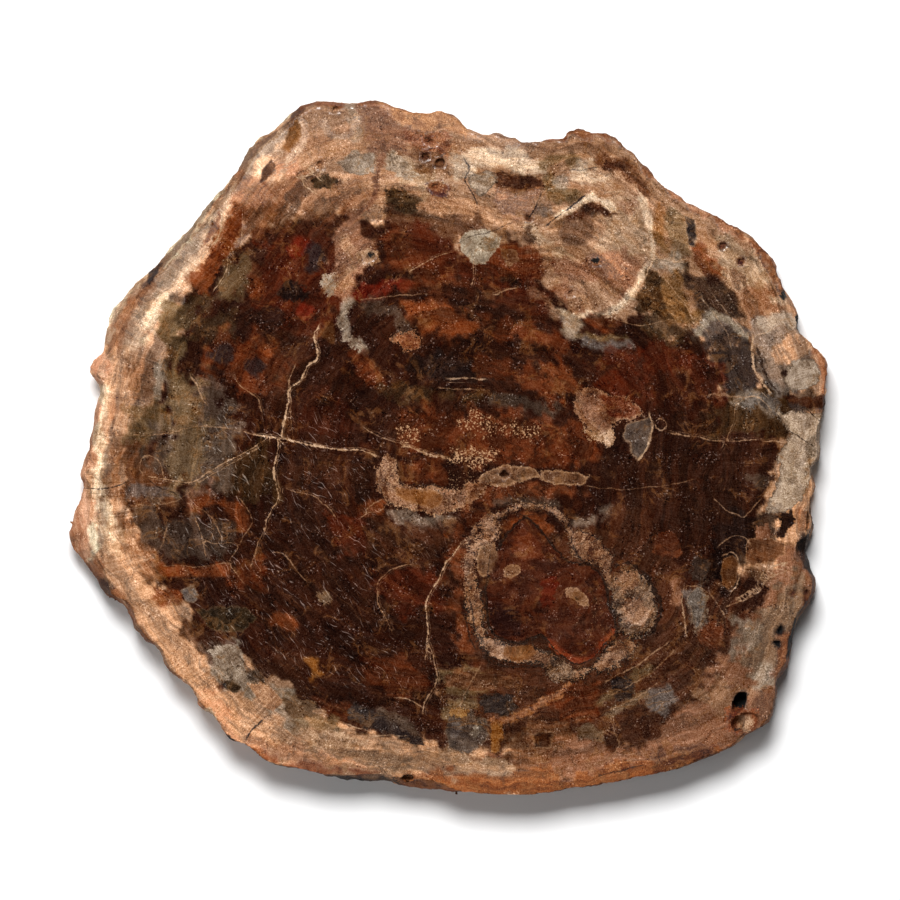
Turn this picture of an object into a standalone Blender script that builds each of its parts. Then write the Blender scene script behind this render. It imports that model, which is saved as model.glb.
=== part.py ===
"""A petrified wood slice: one slab sawn across a fossil log, with a polished face up and a sawn back down.

The slab is a single stone. Its outline is the broken, weathered outside of the log, which stands out
a little beyond the polished face and tucks in again at the back. The wall is ribbed along the trunk,
as bark is, and the face is open at the pith, at a few rotted pits and at one deep double hole.
+X is the long way across the slice, +Y points at its narrower end, and +Z is out of the polished face.
"""

import bpy
import bmesh
from math import atan2, degrees, radians
from mathutils import Matrix, Vector, noise

MM = 0.001

# Driving dimensions, in millimetres.
THICKNESS = 38
OUTLINE_STEPS = 4
FURROW_PITCH = 17
FURROW_DEPTH = 3.4
LUMP_PITCH = 12
LUMP_DEPTH = 3.0
LEVEL_DRIFT = 3.0
BACK_TUCK = 5

# The widest outline of the log, clockwise from the top left corner, in millimetres from the middle.
OUTLINE = [
    (-96, 231), (-68, 233), (-44, 233), (-34, 229), (-14, 226), (-7, 228), (6, 222), (16, 214),
    (26, 211), (34, 212), (40, 209), (45, 209), (50, 206), (66, 208), (77, 209), (82, 214),
    (98, 213), (109, 211), (120, 202), (126, 197), (136, 186), (146, 176), (161, 166), (180, 156),
    (198, 146), (208, 139), (218, 128), (223, 116), (228, 104), (236, 90), (237, 78), (243, 72),
    (250, 65), (255, 56), (254, 42), (254, 25), (250, 10), (250, -7), (246, -14), (248, -26),
    (245, -39), (246, -55), (242, -67), (244, -80), (248, -90), (246, -100), (237, -114), (233, -127),
    (230, -144), (223, -157), (221, -172), (213, -188), (200, -194), (193, -200), (170, -210), (152, -217),
    (128, -222), (104, -227), (78, -230), (56, -233), (31, -233), (10, -232), (-11, -230), (-30, -228),
    (-46, -225), (-69, -224), (-96, -218), (-114, -214), (-126, -209), (-135, -202), (-147, -196),
    (-156, -184), (-169, -172), (-176, -160), (-188, -150), (-196, -135), (-205, -129), (-213, -118),
    (-218, -106), (-231, -100), (-237, -88), (-247, -75), (-253, -65), (-255, -56), (-250, -40),
    (-246, -26), (-248, -18), (-246, -12), (-242, 3), (-238, 18), (-238, 28), (-234, 38), (-242, 54),
    (-233, 65), (-230, 78), (-228, 91), (-220, 99), (-207, 114), (-196, 124), (-184, 138), (-171, 152),
    (-159, 166), (-148, 180), (-139, 192), (-132, 204), (-124, 211), (-117, 214), (-108, 224),
]

# How the rim is broken, by direction from the middle, counter-clockwise from +X in degrees:
# how far the polished face stops short of the widest outline, and how high up the wall is widest.
RIM = [
    (-180, 4, 0.60), (-175, 6, 0.60), (-168, 15, 0.58), (-161, 11, 0.55), (-156, 6, 0.50),
    (-146, 4.5, 0.50), (-130, 3.5, 0.45), (-113, 3, 0.35), (-105, 7, 0.30), (-98, 8, 0.40),
    (-93, 8, 0.50), (-88, 3, 0.45), (-77, 2.5, 0.45), (-52, 3.5, 0.40), (-38, 5, 0.35),
    (-30, 6, 0.35), (-24, 5, 0.35), (-16, 7, 0.30), (-8, 4.5, 0.35), (3, 4, 0.40), (12, 3.5, 0.45),
    (22, 4, 0.40), (34, 3.5, 0.45), (46, 3, 0.50), (63, 3, 0.50), (80, 3.5, 0.45), (98, 3.5, 0.45),
    (112, 6, 0.55), (124, 8, 0.60), (143, 8, 0.60), (158, 9, 0.60), (167, 9, 0.60), (174, 5, 0.60),
    (180, 4, 0.60),
]

# Levels of the wall: the share of the way from the back up to the widest level, then on up to the face.
LOWER_LEVELS = (0, 0.2, 0.6)
UPPER_LEVELS = (0.35, 0.75, 1)

# Pits open to the polished face: place, half length, half width, depth and turn of the long side.
PITS = {
    "deep_hole": (193.5, -169, 7.0, 4.4, 15, 65),
    "red_hole": (193, -183.5, 6.0, 3.6, 10, 70),
    "red_hole_dish": (197, -182.5, 9.5, 5.8, 2.6, 15),
    "pith_hollow": (37, -17.7, 2.6, 2.3, 9, 0),
    "top_pit_large": (-5.7, 189.7, 3.2, 2.6, 5, 20),
    "top_pit_small": (-15.7, 193.7, 2.4, 2.0, 4, 0),
    "top_pit_row": (-12.3, 203.7, 3.8, 1.7, 3, 150),
    "top_pit_low": (-9, 173.7, 2.8, 1.5, 2, 10),
    "corner_pit": (-75.7, 225, 1.9, 1.4, 3, 60),
    "cream_pit": (-85.7, 188.3, 2.4, 1.8, 3, 100),
    "crust_pit": (-52.3, 127, 3.8, 1.7, 3, 35),
    "knot_pit_north": (97.7, 123, 1.7, 1.5, 2, 0),
    "knot_pit_west": (81, 103, 2.4, 1.4, 2, 30),
    "heart_pit": (53, 153, 2.0, 1.4, 2, 0),
    "right_pit_north": (182.3, 134.3, 2.6, 1.5, 2.5, 40),
    "right_pit_east": (194.3, 123.7, 2.8, 1.6, 2.5, 70),
    "rim_pit_north": (224.3, 101.7, 4.6, 2.6, 5, 115),
    "rim_slit_east": (238.3, -98.3, 4.0, 1.6, 5, 85),
    "rim_pit_east": (229, -97, 2.2, 1.7, 3, 20),
    "rim_pit_south": (221, -121.7, 2.9, 1.8, 4, 80),
    "rim_pit_low": (219, -130.3, 2.2, 1.8, 3, 0),
    "left_low_pit": (-151, -159, 1.9, 1.3, 2, 20),
    "edge_break_hole": (-27.7, -220.3, 4.2, 2.8, 9, 20),
}

# Hollows broken into the wall: place, half sizes along X, Y and Z, and turn about Z.
WALL_BREAKS = {
    "east_bay": (239, -68, 36, 8.5, 9.5, 15, -12),
    "east_slot": (239.5, -49, 36, 1.5, 8.0, 9, -5),
    "north_east_notch": (236, 84, 33, 5.0, 6.0, 13, 20),
    "west_chip": (-256.5, -62, 22, 3.0, 3.5, 4, 0),
    "south_east_gap": (226, -150, 12, 5.0, 4.0, 9, 30),
    "north_west_gap": (-168, 163, 12, 6.0, 3.5, 8, 45),
    "south_west_gap": (-195, -147, 14, 7.0, 4.0, 9, 125),
    "north_gap": (60, 210, 16, 8.0, 3.0, 7, 0),
}


def smooth_outline():
    """The widest outline as closely spaced points, from a closed curve through the picked points."""
    curve = bpy.data.curves.new("log_outline", "CURVE")
    curve.dimensions = "2D"
    curve.fill_mode = "NONE"
    curve.resolution_u = OUTLINE_STEPS
    spline = curve.splines.new("BEZIER")
    spline.bezier_points.add(len(OUTLINE) - 1)
    for point, (x, y) in zip(spline.bezier_points, OUTLINE):
        point.co = (x, y, 0)
        point.handle_left_type = "AUTO"
        point.handle_right_type = "AUTO"
    spline.use_cyclic_u = True
    guide = bpy.data.objects.new("log_outline", curve)
    bpy.context.scene.collection.objects.link(guide)
    graph = bpy.context.evaluated_depsgraph_get()
    mesh = bpy.data.meshes.new_from_object(guide.evaluated_get(graph))
    points = [Vector((vertex.co.x, vertex.co.y)) for vertex in mesh.vertices]
    bpy.data.objects.remove(guide)
    bpy.data.meshes.remove(mesh)
    middle = Vector((
        (min(point.x for point in points) + max(point.x for point in points)) / 2,
        (min(point.y for point in points) + max(point.y for point in points)) / 2,
    ))
    return [point - middle for point in points]


def rim_at(direction):
    """The face's inset and the share of the height where the wall is widest, in this direction."""
    for (start, inset, height), (end, next_inset, next_height) in zip(RIM, RIM[1:]):
        if direction <= end:
            share = (direction - start) / (end - start)
            return inset + share * (next_inset - inset), height + share * (next_height - height)
    return RIM[-1][1:]


def bark_depth(point, z):
    """How deep the broken bark lies here: narrow furrows along the trunk, with lumps and ledges between them."""
    along = noise.noise(Vector((point.x, point.y, z / 5)) / FURROW_PITCH)
    furrow = max(1 - 4 * abs(along), 0)
    lump = noise.noise(Vector((point.x, point.y, 3 * z)) / LUMP_PITCH + Vector((9, 5, 2)))
    return FURROW_DEPTH * furrow + LUMP_DEPTH * max(lump + 0.2, 0)


def wall_columns(outline):
    """For each point of the outline, the points of the wall from the back up to the face."""
    columns = []
    for point in outline:
        inset, height = rim_at(degrees(atan2(point.y, point.x)))
        drift = LEVEL_DRIFT * noise.noise(Vector((point.x, point.y, 70)) / LUMP_PITCH)
        widest = height * THICKNESS + drift
        places = [(widest * share, BACK_TUCK * (1 - share) ** 2, 1) for share in LOWER_LEVELS]
        places.append((widest, 0, 0.4))
        for share in UPPER_LEVELS:
            level = widest + share * (THICKNESS - widest)
            places.append((level, inset * share ** 1.4, 1 - 0.7 * share))
        column = []
        for level, tuck, roughness in places:
            depth = tuck + roughness * bark_depth(point, level)
            inner = point * (1 - depth / point.length)
            column.append(Vector((inner.x, inner.y, level)) * MM)
        columns.append(column)
    return columns


def slab(columns):
    """One closed mesh: the wall as a loft through the columns, the flat back and the flat face."""
    bm = bmesh.new()
    rings = [[bm.verts.new(column[level]) for column in columns] for level in range(len(columns[0]))]
    for lower, upper in zip(rings, rings[1:]):
        for index in range(len(lower)):
            bm.faces.new((lower[index - 1], lower[index], upper[index], upper[index - 1]))
    bm.faces.new(rings[0])
    bm.faces.new(rings[-1])
    bmesh.ops.recalc_face_normals(bm, faces=bm.faces)
    mesh = bpy.data.meshes.new("petrified_wood_slice")
    bm.to_mesh(mesh)
    bm.free()
    return mesh


def rough_hollow(name, place, half_sizes, turn, collection):
    """A cutter: a ball drawn out to these half sizes, with uneven sides."""
    bm = bmesh.new()
    bmesh.ops.create_icosphere(bm, subdivisions=2, radius=1)
    for vertex in bm.verts:
        vertex.co *= 1 + 0.22 * noise.noise(vertex.co * 1.7 + Vector(place) / 9)
    bmesh.ops.scale(bm, vec=half_sizes, verts=bm.verts)
    bmesh.ops.rotate(bm, matrix=Matrix.Rotation(radians(turn), 3, "Z"), verts=bm.verts)
    bmesh.ops.translate(bm, vec=place, verts=bm.verts)
    bmesh.ops.scale(bm, vec=(MM, MM, MM), verts=bm.verts)
    mesh = bpy.data.meshes.new(name)
    bm.to_mesh(mesh)
    bm.free()
    cutter = bpy.data.objects.new(name, mesh)
    cutter.hide_render = True
    cutter.display_type = "WIRE"
    collection.objects.link(cutter)


def stone_material():
    """Polished agate and jasper, brown over all."""
    material = bpy.data.materials.new("petrified_wood")
    material.use_nodes = True
    shader = material.node_tree.nodes["Principled BSDF"]
    shader.inputs["Base Color"].default_value = (0.10, 0.045, 0.022, 1)
    shader.inputs["Roughness"].default_value = 0.25
    shader.inputs["Metallic"].default_value = 0
    return material


def main():
    for leftover in list(bpy.data.objects):
        bpy.data.objects.remove(leftover)
    stone = bpy.data.collections.new("petrified_wood")
    cutters = bpy.data.collections.new("hollow_cutters")
    bpy.context.scene.collection.children.link(stone)
    bpy.context.scene.collection.children.link(cutters)

    piece = bpy.data.objects.new("petrified_wood_slice", slab(wall_columns(smooth_outline())))
    piece.data.materials.append(stone_material())
    stone.objects.link(piece)

    for name, (x, y, half_length, half_width, depth, turn) in PITS.items():
        rough_hollow(name, (x, y, THICKNESS), (half_length, half_width, depth), turn, cutters)
    for name, (x, y, z, half_x, half_y, half_z, turn) in WALL_BREAKS.items():
        rough_hollow(name, (x, y, z), (half_x, half_y, half_z), turn, cutters)

    cut = piece.modifiers.new("hollows", "BOOLEAN")
    cut.operation = "DIFFERENCE"
    cut.operand_type = "COLLECTION"
    cut.collection = cutters
    cut.solver = "EXACT"


main()
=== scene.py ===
# %% [markdown]
# # A polished slice of petrified wood
# The real thing is one slab sawn across a fossil log, about half a metre wide and not quite four
# centimetres thick. Silica has replaced the wood, and traces of iron and carbon colour it, so the polished
# face shows dark brown heartwood with rust, cream sapwood round it, white agate patches, an old knot and
# fine pale veins. The outside of the log is left rough. The slab lies flat on its sawn back.
#
# The lesson refines the imported solid into one mesh, paints the growth of the stone into attributes,
# feature by feature, and lets one material turn them into a finish with grain, veins and gloss.

# %% Load the imported part
from math import cos, pi, radians, sin

import bpy
import numpy as np
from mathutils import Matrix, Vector


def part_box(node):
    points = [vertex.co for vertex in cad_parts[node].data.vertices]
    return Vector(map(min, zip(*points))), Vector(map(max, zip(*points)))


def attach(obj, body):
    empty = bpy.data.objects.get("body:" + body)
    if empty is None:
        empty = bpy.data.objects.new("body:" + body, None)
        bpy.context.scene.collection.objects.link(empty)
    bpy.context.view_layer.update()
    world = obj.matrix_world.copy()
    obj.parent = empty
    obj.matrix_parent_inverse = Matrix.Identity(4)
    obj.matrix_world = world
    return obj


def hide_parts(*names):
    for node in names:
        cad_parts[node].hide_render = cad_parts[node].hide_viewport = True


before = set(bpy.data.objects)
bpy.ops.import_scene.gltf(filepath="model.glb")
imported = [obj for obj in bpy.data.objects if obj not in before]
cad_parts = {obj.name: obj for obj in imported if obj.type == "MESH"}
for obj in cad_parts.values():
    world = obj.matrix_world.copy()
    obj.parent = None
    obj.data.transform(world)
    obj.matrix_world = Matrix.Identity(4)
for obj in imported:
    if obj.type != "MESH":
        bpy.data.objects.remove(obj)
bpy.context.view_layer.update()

NODE = "petrified_wood_slice"
LOW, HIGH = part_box(NODE)
THICKNESS = HIGH.z - LOW.z
print("slab", [round(side * 1000) for side in HIGH - LOW], "mm")

# %% [markdown]
# ## The view
# The picture looks straight down on the slab, which fills most of the frame. A long lens keeps the wall
# from leaning. Places on the stone were read off the picture in its own pixels, so two small sums turn
# pixels into metres on the slab and back.

# %% Camera
PIXEL = 2 / 3 / 1000
MIDDLE_PX = (448.5, 447.5)
FRAME_PX = 900
LENS_MM = 200
SENSOR_MM = 36
# The share of the slab's height at which the picture's scale holds exactly
SCALE_SHARE = 0.75


def metres(x, y):
    """Where a pixel of the picture lies on the slab, along X and Y."""
    return (x - MIDDLE_PX[0]) * PIXEL, (MIDDLE_PX[1] - y) * PIXEL


camera = bpy.data.objects.new("camera", bpy.data.cameras.new("camera"))
camera.data.lens = LENS_MM
camera.data.sensor_width = SENSOR_MM
distance = FRAME_PX * PIXEL * LENS_MM / SENSOR_MM
scale_level = SCALE_SHARE * THICKNESS
camera.location = (*metres(FRAME_PX / 2, FRAME_PX / 2), scale_level + distance)
bpy.context.scene.collection.objects.link(camera)
bpy.context.scene.camera = camera
print("camera height", round(camera.location.z, 2))

# %% [markdown]
# ## The floor and the light
# A studio would lay the slab on white paper. One large soft light stands above and behind its top edge,
# so the shadow falls just under the lower edge, and a weak one fills it from the lower left. The sky is
# dim, which keeps the dark heartwood deep: a polished face mirrors whatever is above it.

# %% Floor and lights
FLOOR_SIZE = 8
PAPER = (0.96, 0.96, 0.96, 1)
PAPER_ROUGHNESS = 0.9
PAPER_MIRROR = 0.2
SKY = (1, 1, 1, 1)
SKY_STRENGTH = 0.06

bpy.ops.mesh.primitive_plane_add(size=FLOOR_SIZE, location=(0, 0, LOW.z))
floor = bpy.context.object
floor.name = "paper_floor"
paper = bpy.data.materials.new("white_paper")
paper.use_nodes = True
paper_shader = paper.node_tree.nodes["Principled BSDF"]
paper_shader.inputs["Base Color"].default_value = PAPER
paper_shader.inputs["Roughness"].default_value = PAPER_ROUGHNESS
paper_shader.inputs["Specular IOR Level"].default_value = PAPER_MIRROR
floor.data.materials.append(paper)


def soft_light(name, azimuth, elevation, reach, size, power):
    """A square light that looks at the slab. Azimuth 0 is above the picture's top edge, 90 is its left."""
    lamp = bpy.data.objects.new(name, bpy.data.lights.new(name, "AREA"))
    lamp.data.shape = "SQUARE"
    lamp.data.size = size
    lamp.data.energy = power
    turn, rise = radians(azimuth), radians(elevation)
    towards = Vector((-sin(turn) * cos(rise), cos(turn) * cos(rise), sin(rise)))
    lamp.location = towards * reach
    lamp.rotation_euler = towards.to_track_quat("Z", "Y").to_euler()
    bpy.context.scene.collection.objects.link(lamp)
    print(name, power, "watts")


soft_light("key_softbox", azimuth=8, elevation=64, reach=2.4, size=0.85, power=76)
soft_light("fill_softbox", azimuth=125, elevation=50, reach=1.8, size=1.0, power=6)

world = bpy.data.worlds.new("dim_studio")
world.use_nodes = True
world.node_tree.nodes["Background"].inputs["Color"].default_value = SKY
world.node_tree.nodes["Background"].inputs["Strength"].default_value = SKY_STRENGTH
bpy.context.scene.world = world
bpy.context.scene.view_settings.view_transform = "Standard"

# %% [markdown]
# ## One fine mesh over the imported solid
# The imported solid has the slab's true shape in few, large facets. The finish needs many small faces, on
# the wall for its crumbling bark, and on the polished face because the growth of the stone is painted at
# its corners. So a copy is merged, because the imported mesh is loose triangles, and voxel remeshed. The
# sawn back has nothing fine on it, so its faces are thinned out again.

# %% Copy, merge and remesh
GRID = 0.00172
BACK_KEEPS = 0.07
FLAT = 0.0002
SAME_PLACE = 1e-6

bpy.ops.object.select_all(action="DESELECT")
stone = bpy.data.objects.new("agatized_log_slice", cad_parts[NODE].data.copy())
bpy.context.scene.collection.objects.link(stone)
stone.select_set(True)
bpy.context.view_layer.objects.active = stone
bpy.ops.object.mode_set(mode="EDIT")
bpy.ops.mesh.select_mode(type="FACE")
bpy.ops.mesh.select_all(action="SELECT")
bpy.ops.mesh.remove_doubles(threshold=SAME_PLACE)
bpy.ops.object.mode_set(mode="OBJECT")
stone.data.remesh_voxel_size = GRID
bpy.ops.object.voxel_remesh()
print("remeshed to", len(stone.data.vertices), "corners")


def corner_places(mesh):
    """Every corner of the mesh, as an array of X, Y and Z."""
    places = np.empty(len(mesh.vertices) * 3, dtype=np.float32)
    mesh.vertices.foreach_get("co", places)
    return places.reshape(-1, 3)


def select_faces(mesh, chosen):
    """Selects these faces and nothing else, for edit mode."""
    mesh.vertices.foreach_set("select", np.zeros(len(mesh.vertices), dtype=bool))
    mesh.edges.foreach_set("select", np.zeros(len(mesh.edges), dtype=bool))
    mesh.polygons.foreach_set("select", chosen)


# %% Thin out the sawn back
centres = np.empty(len(stone.data.polygons) * 3, dtype=np.float32)
stone.data.polygons.foreach_get("center", centres)
select_faces(stone.data, centres.reshape(-1, 3)[:, 2] < LOW.z + FLAT)
bpy.ops.object.mode_set(mode="EDIT")
bpy.ops.mesh.decimate(ratio=BACK_KEEPS)
bpy.ops.object.mode_set(mode="OBJECT")
triangles = sum(len(polygon.vertices) - 2 for polygon in stone.data.polygons)
print("thinned to", len(stone.data.vertices), "corners,", triangles, "triangles")

# %% [markdown]
# ## Crumbling bark
# Fossil bark is a skin of small ribs along the trunk, with lumps and gaps between them. On the wall the
# fine mesh is pushed inwards only, so the slab never grows past its packed size. The push is a Displace
# modifier over the corners of the wall, and its texture is read in the space of an empty that is
# stretched along the trunk, which draws the lumps out into ribs. The polished face and the back stay flat.

# %% Select the wall's corners
EDGE_BAND = 0.0012

places = corner_places(stone.data)
off_face = np.minimum(HIGH.z - places[:, 2], places[:, 2] - LOW.z)
wall = stone.vertex_groups.new(name="wall")
for corner in np.flatnonzero(off_face > FLAT):
    wall.add([int(corner)], float(min(off_face[corner] / EDGE_BAND, 1)), "REPLACE")
print(np.count_nonzero(off_face > FLAT), "corners on the wall and in the pits")


# %% Push the bark in
def press_bark(name, kind, size, stretch, depth):
    """Pushes the wall in where a procedural texture is bright, by up to this depth."""
    guide = bpy.data.objects.new(name + "_guide", None)
    guide.scale = (1, 1, stretch)
    bpy.context.scene.collection.objects.link(guide)
    bpy.context.view_layer.update()
    texture = bpy.data.textures.new(name, kind)
    texture.noise_scale = size
    push = stone.modifiers.new(name, "DISPLACE")
    push.texture = texture
    push.texture_coords = "OBJECT"
    push.texture_coords_object = guide
    push.vertex_group = "wall"
    push.mid_level = 0
    push.strength = -depth
    bpy.ops.object.modifier_apply(modifier=name)
    bpy.data.objects.remove(guide)


press_bark("bark_lumps", "CLOUDS", size=0.007, stretch=1.6, depth=0.001)
press_bark("bark_ribs", "CLOUDS", size=0.0032, stretch=3.5, depth=0.0009)
press_bark("bark_crumbs", "VORONOI", size=0.0035, stretch=0.8, depth=0.0006)
low, high = corner_places(stone.data).min(axis=0), corner_places(stone.data).max(axis=0)
print("after the bark", [round(float(side) * 1000, 1) for side in high - low], "mm")

# %% [markdown]
# ## Painting stone at the corners of the mesh
# The figure of this stone follows no formula: it is one log's rot, rings, knot and cracks. So each
# feature is listed by its own name, in pixels of the picture, and painted into the mesh's corners. A
# feature is an oval, a line or an area, and each gives one number at every corner: how many pixels
# inside its edge the corner lies. Wide stains are blended softly. Sharp features keep that number, and
# the material cuts it off at zero, which gives a crisp edge finer than the mesh.

# %% Places in the picture, with a natural wander
from mathutils import noise

# Pixels between the humps, how far they move a place, and a seed
WANDERS = ((30, 4.5, 0), (11, 2.2, 40))
TEARS = ((18, 1.4, 80), (7, 1.0, 90))
# Added to the seed for the wander down the picture
DOWN_SEED = 7

places = corner_places(stone.data)
picture_x = places[:, 0] / PIXEL + MIDDLE_PX[0]
picture_y = MIDDLE_PX[1] - places[:, 1] / PIXEL
level = places[:, 2]


def smooth_noise(period, seed):
    """Soft noise from -1 to 1 at every corner, with about this many pixels between its humps."""
    steps = zip(picture_x / period, picture_y / period)
    return np.array([noise.noise(Vector((x, y, seed))) for x, y in steps], dtype=np.float32)


wander_x = sum(reach * smooth_noise(period, seed) for period, reach, seed in WANDERS)
wander_y = sum(reach * smooth_noise(period, seed + DOWN_SEED) for period, reach, seed in WANDERS)
tear = sum(reach * smooth_noise(period, seed) for period, reach, seed in TEARS)
print("wander up to", round(float(np.abs(wander_x).max()), 1), "pixels")


# %% [markdown]
# A log's rings run round its pith near the middle and follow its outline near the bark. So each corner
# also gets its place in the growth: its direction from the pith, and how far out it lies on the way to
# the rim. Noise over that place gives streaks that bend with the rings.

# %% Place in the growth
PITH_PX = (504, 474)
DIRECTIONS = 240
RIM_SMOOTHING = 9
STREAK_TURNS = 6
STREAK_RINGS = 62
SHORTEST = 1e-3

from_pith_x, from_pith_y = picture_x - PITH_PX[0], picture_y - PITH_PX[1]
radius = np.hypot(from_pith_x, from_pith_y) + SHORTEST
direction = (np.arctan2(from_pith_y, from_pith_x) / (2 * pi) % 1) * DIRECTIONS
slot = direction.astype(int) % DIRECTIONS
reach = np.zeros(DIRECTIONS)
np.maximum.at(reach, slot, radius)
window = np.ones(RIM_SMOOTHING) / RIM_SMOOTHING
wrapped = np.concatenate((reach[-RIM_SMOOTHING:], reach, reach[:RIM_SMOOTHING]))
reach = np.convolve(wrapped, window, "same")[RIM_SMOOTHING:-RIM_SMOOTHING]
closed_reach = np.concatenate((reach[-1:], reach, reach[:1]))
rim_radius = np.interp(direction - 0.5, np.arange(-1, DIRECTIONS + 1), closed_reach)
growth_place = np.column_stack((
    STREAK_TURNS * from_pith_x / radius, STREAK_TURNS * from_pith_y / radius,
    STREAK_RINGS * (radius + wander_x) / rim_radius))
print("rim", round(float(reach.min())), "to", round(float(reach.max())), "pixels from the pith")


# %% How deep a place lies inside a shape
FAR = 1e6
NEVER_ZERO = 1e-6


def oval_depth(x, y, middle_x, middle_y, half_width, half_height, turn=0):
    """Pixels inside an oval, about, and negative outside it. Turn is clockwise, in degrees."""
    along = (x - middle_x) * cos(radians(turn)) + (y - middle_y) * sin(radians(turn))
    across = (y - middle_y) * cos(radians(turn)) - (x - middle_x) * sin(radians(turn))
    share = np.sqrt((along / half_width) ** 2 + (across / half_height) ** 2) + NEVER_ZERO
    slope = np.sqrt((along / half_width ** 2) ** 2 + (across / half_height ** 2) ** 2) / share + NEVER_ZERO
    return np.minimum((1 - share) / slope, min(half_width, half_height))


def smooth_path(points):
    """A few points more between each two, on a curve through them all."""
    if len(points) < 3:
        return points
    before, after = [points[0]] + points[:-1], points[1:] + [points[-1]]
    path = []
    for (start, end), (left, right) in zip(zip(points, points[1:]), zip(before, after[1:])):
        for share in (0, 1 / 3, 2 / 3):
            path.append(tuple(
                0.5 * (2 * b + (c - a) * share + (2 * a - 5 * b + 4 * c - d) * share ** 2
                       + (3 * b - a - 3 * c + d) * share ** 3)
                for a, b, c, d in zip(left, start, end, right)))
    return path + [points[-1]]


def signed_line(x, y, points):
    """How far each corner is from the line, on which side, and how far it lies beyond an end."""
    nearest = np.full(x.shape, FAR, dtype=np.float32)
    side, beyond = nearest.copy(), np.zeros(x.shape, dtype=np.float32)
    path = smooth_path(points)
    for (x0, y0), (x1, y1) in zip(path, path[1:]):
        length = max(((x1 - x0) ** 2 + (y1 - y0) ** 2) ** 0.5, SHORTEST)
        unit_x, unit_y = (x1 - x0) / length, (y1 - y0) / length
        along = (x - x0) * unit_x + (y - y0) * unit_y
        kept = np.clip(along, 0, length)
        across = (y - y0) * unit_x - (x - x0) * unit_y
        away = np.hypot(across, along - kept)
        closer = away < nearest
        nearest = np.where(closer, away, nearest)
        side = np.where(closer, across, side)
        beyond = np.where(closer, np.abs(along - kept), beyond)
    return nearest, side, beyond


def area_depth(x, y, points):
    """Pixels inside a closed area with these corners, and negative outside it."""
    nearest = np.full(x.shape, FAR, dtype=np.float32)
    inside = np.zeros(x.shape, dtype=bool)
    for (x0, y0), (x1, y1) in zip(points, points[1:] + points[:1]):
        length_squared = max((x1 - x0) ** 2 + (y1 - y0) ** 2, SHORTEST)
        share = np.clip(((x - x0) * (x1 - x0) + (y - y0) * (y1 - y0)) / length_squared, 0, 1)
        away = np.hypot(x - x0 - share * (x1 - x0), y - y0 - share * (y1 - y0))
        nearest = np.minimum(nearest, away)
        if y0 != y1:
            crosses = (y0 > y) != (y1 > y)
            inside ^= crosses & (x < (x1 - x0) * (y - y0) / (y1 - y0) + x0)
    return np.where(inside, nearest, -nearest)


# %% Shapes as the lists below write them
def oval(x, y, half_width, half_height, turn=0):
    """An oval, with the box round it."""
    reach = max(half_width, half_height)
    return "oval", (x, y, half_width, half_height, turn), (x - reach, y - reach, x + reach, y + reach)


def around(points, reach):
    """The box round these points, wider by the reach on each side."""
    across, down = [x for x, y in points], [y for x, y in points]
    return min(across) - reach, min(down) - reach, max(across) + reach, max(down) + reach


def pairs(numbers):
    """Points from a run of numbers: x, y, x, y and so on."""
    return list(zip(numbers[::2], numbers[1::2]))


def line(width, *numbers):
    """A line of this width, with the box round it."""
    points = pairs(numbers)
    return "line", (points, width), around(points, width)


def area(*numbers):
    """A closed area, with the box round it."""
    points = pairs(numbers)
    return "area", (points,), around(points, 0)


def depth_near(shape, margin):
    """The corners near a shape, and how many pixels inside its edge each of them lies."""
    kind, sizes, (left, top, right, bottom) = shape
    across = (picture_x > left - margin) & (picture_x < right + margin)
    near = np.flatnonzero(across & (picture_y > top - margin) & (picture_y < bottom + margin))
    x, y = picture_x[near] + wander_x[near], picture_y[near] + wander_y[near]
    if kind == "oval":
        return near, oval_depth(x, y, *sizes)
    if kind == "line":
        return near, sizes[1] / 2 - signed_line(x, y, sizes[0])[0]
    return near, area_depth(x, y, sizes[0])
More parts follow.
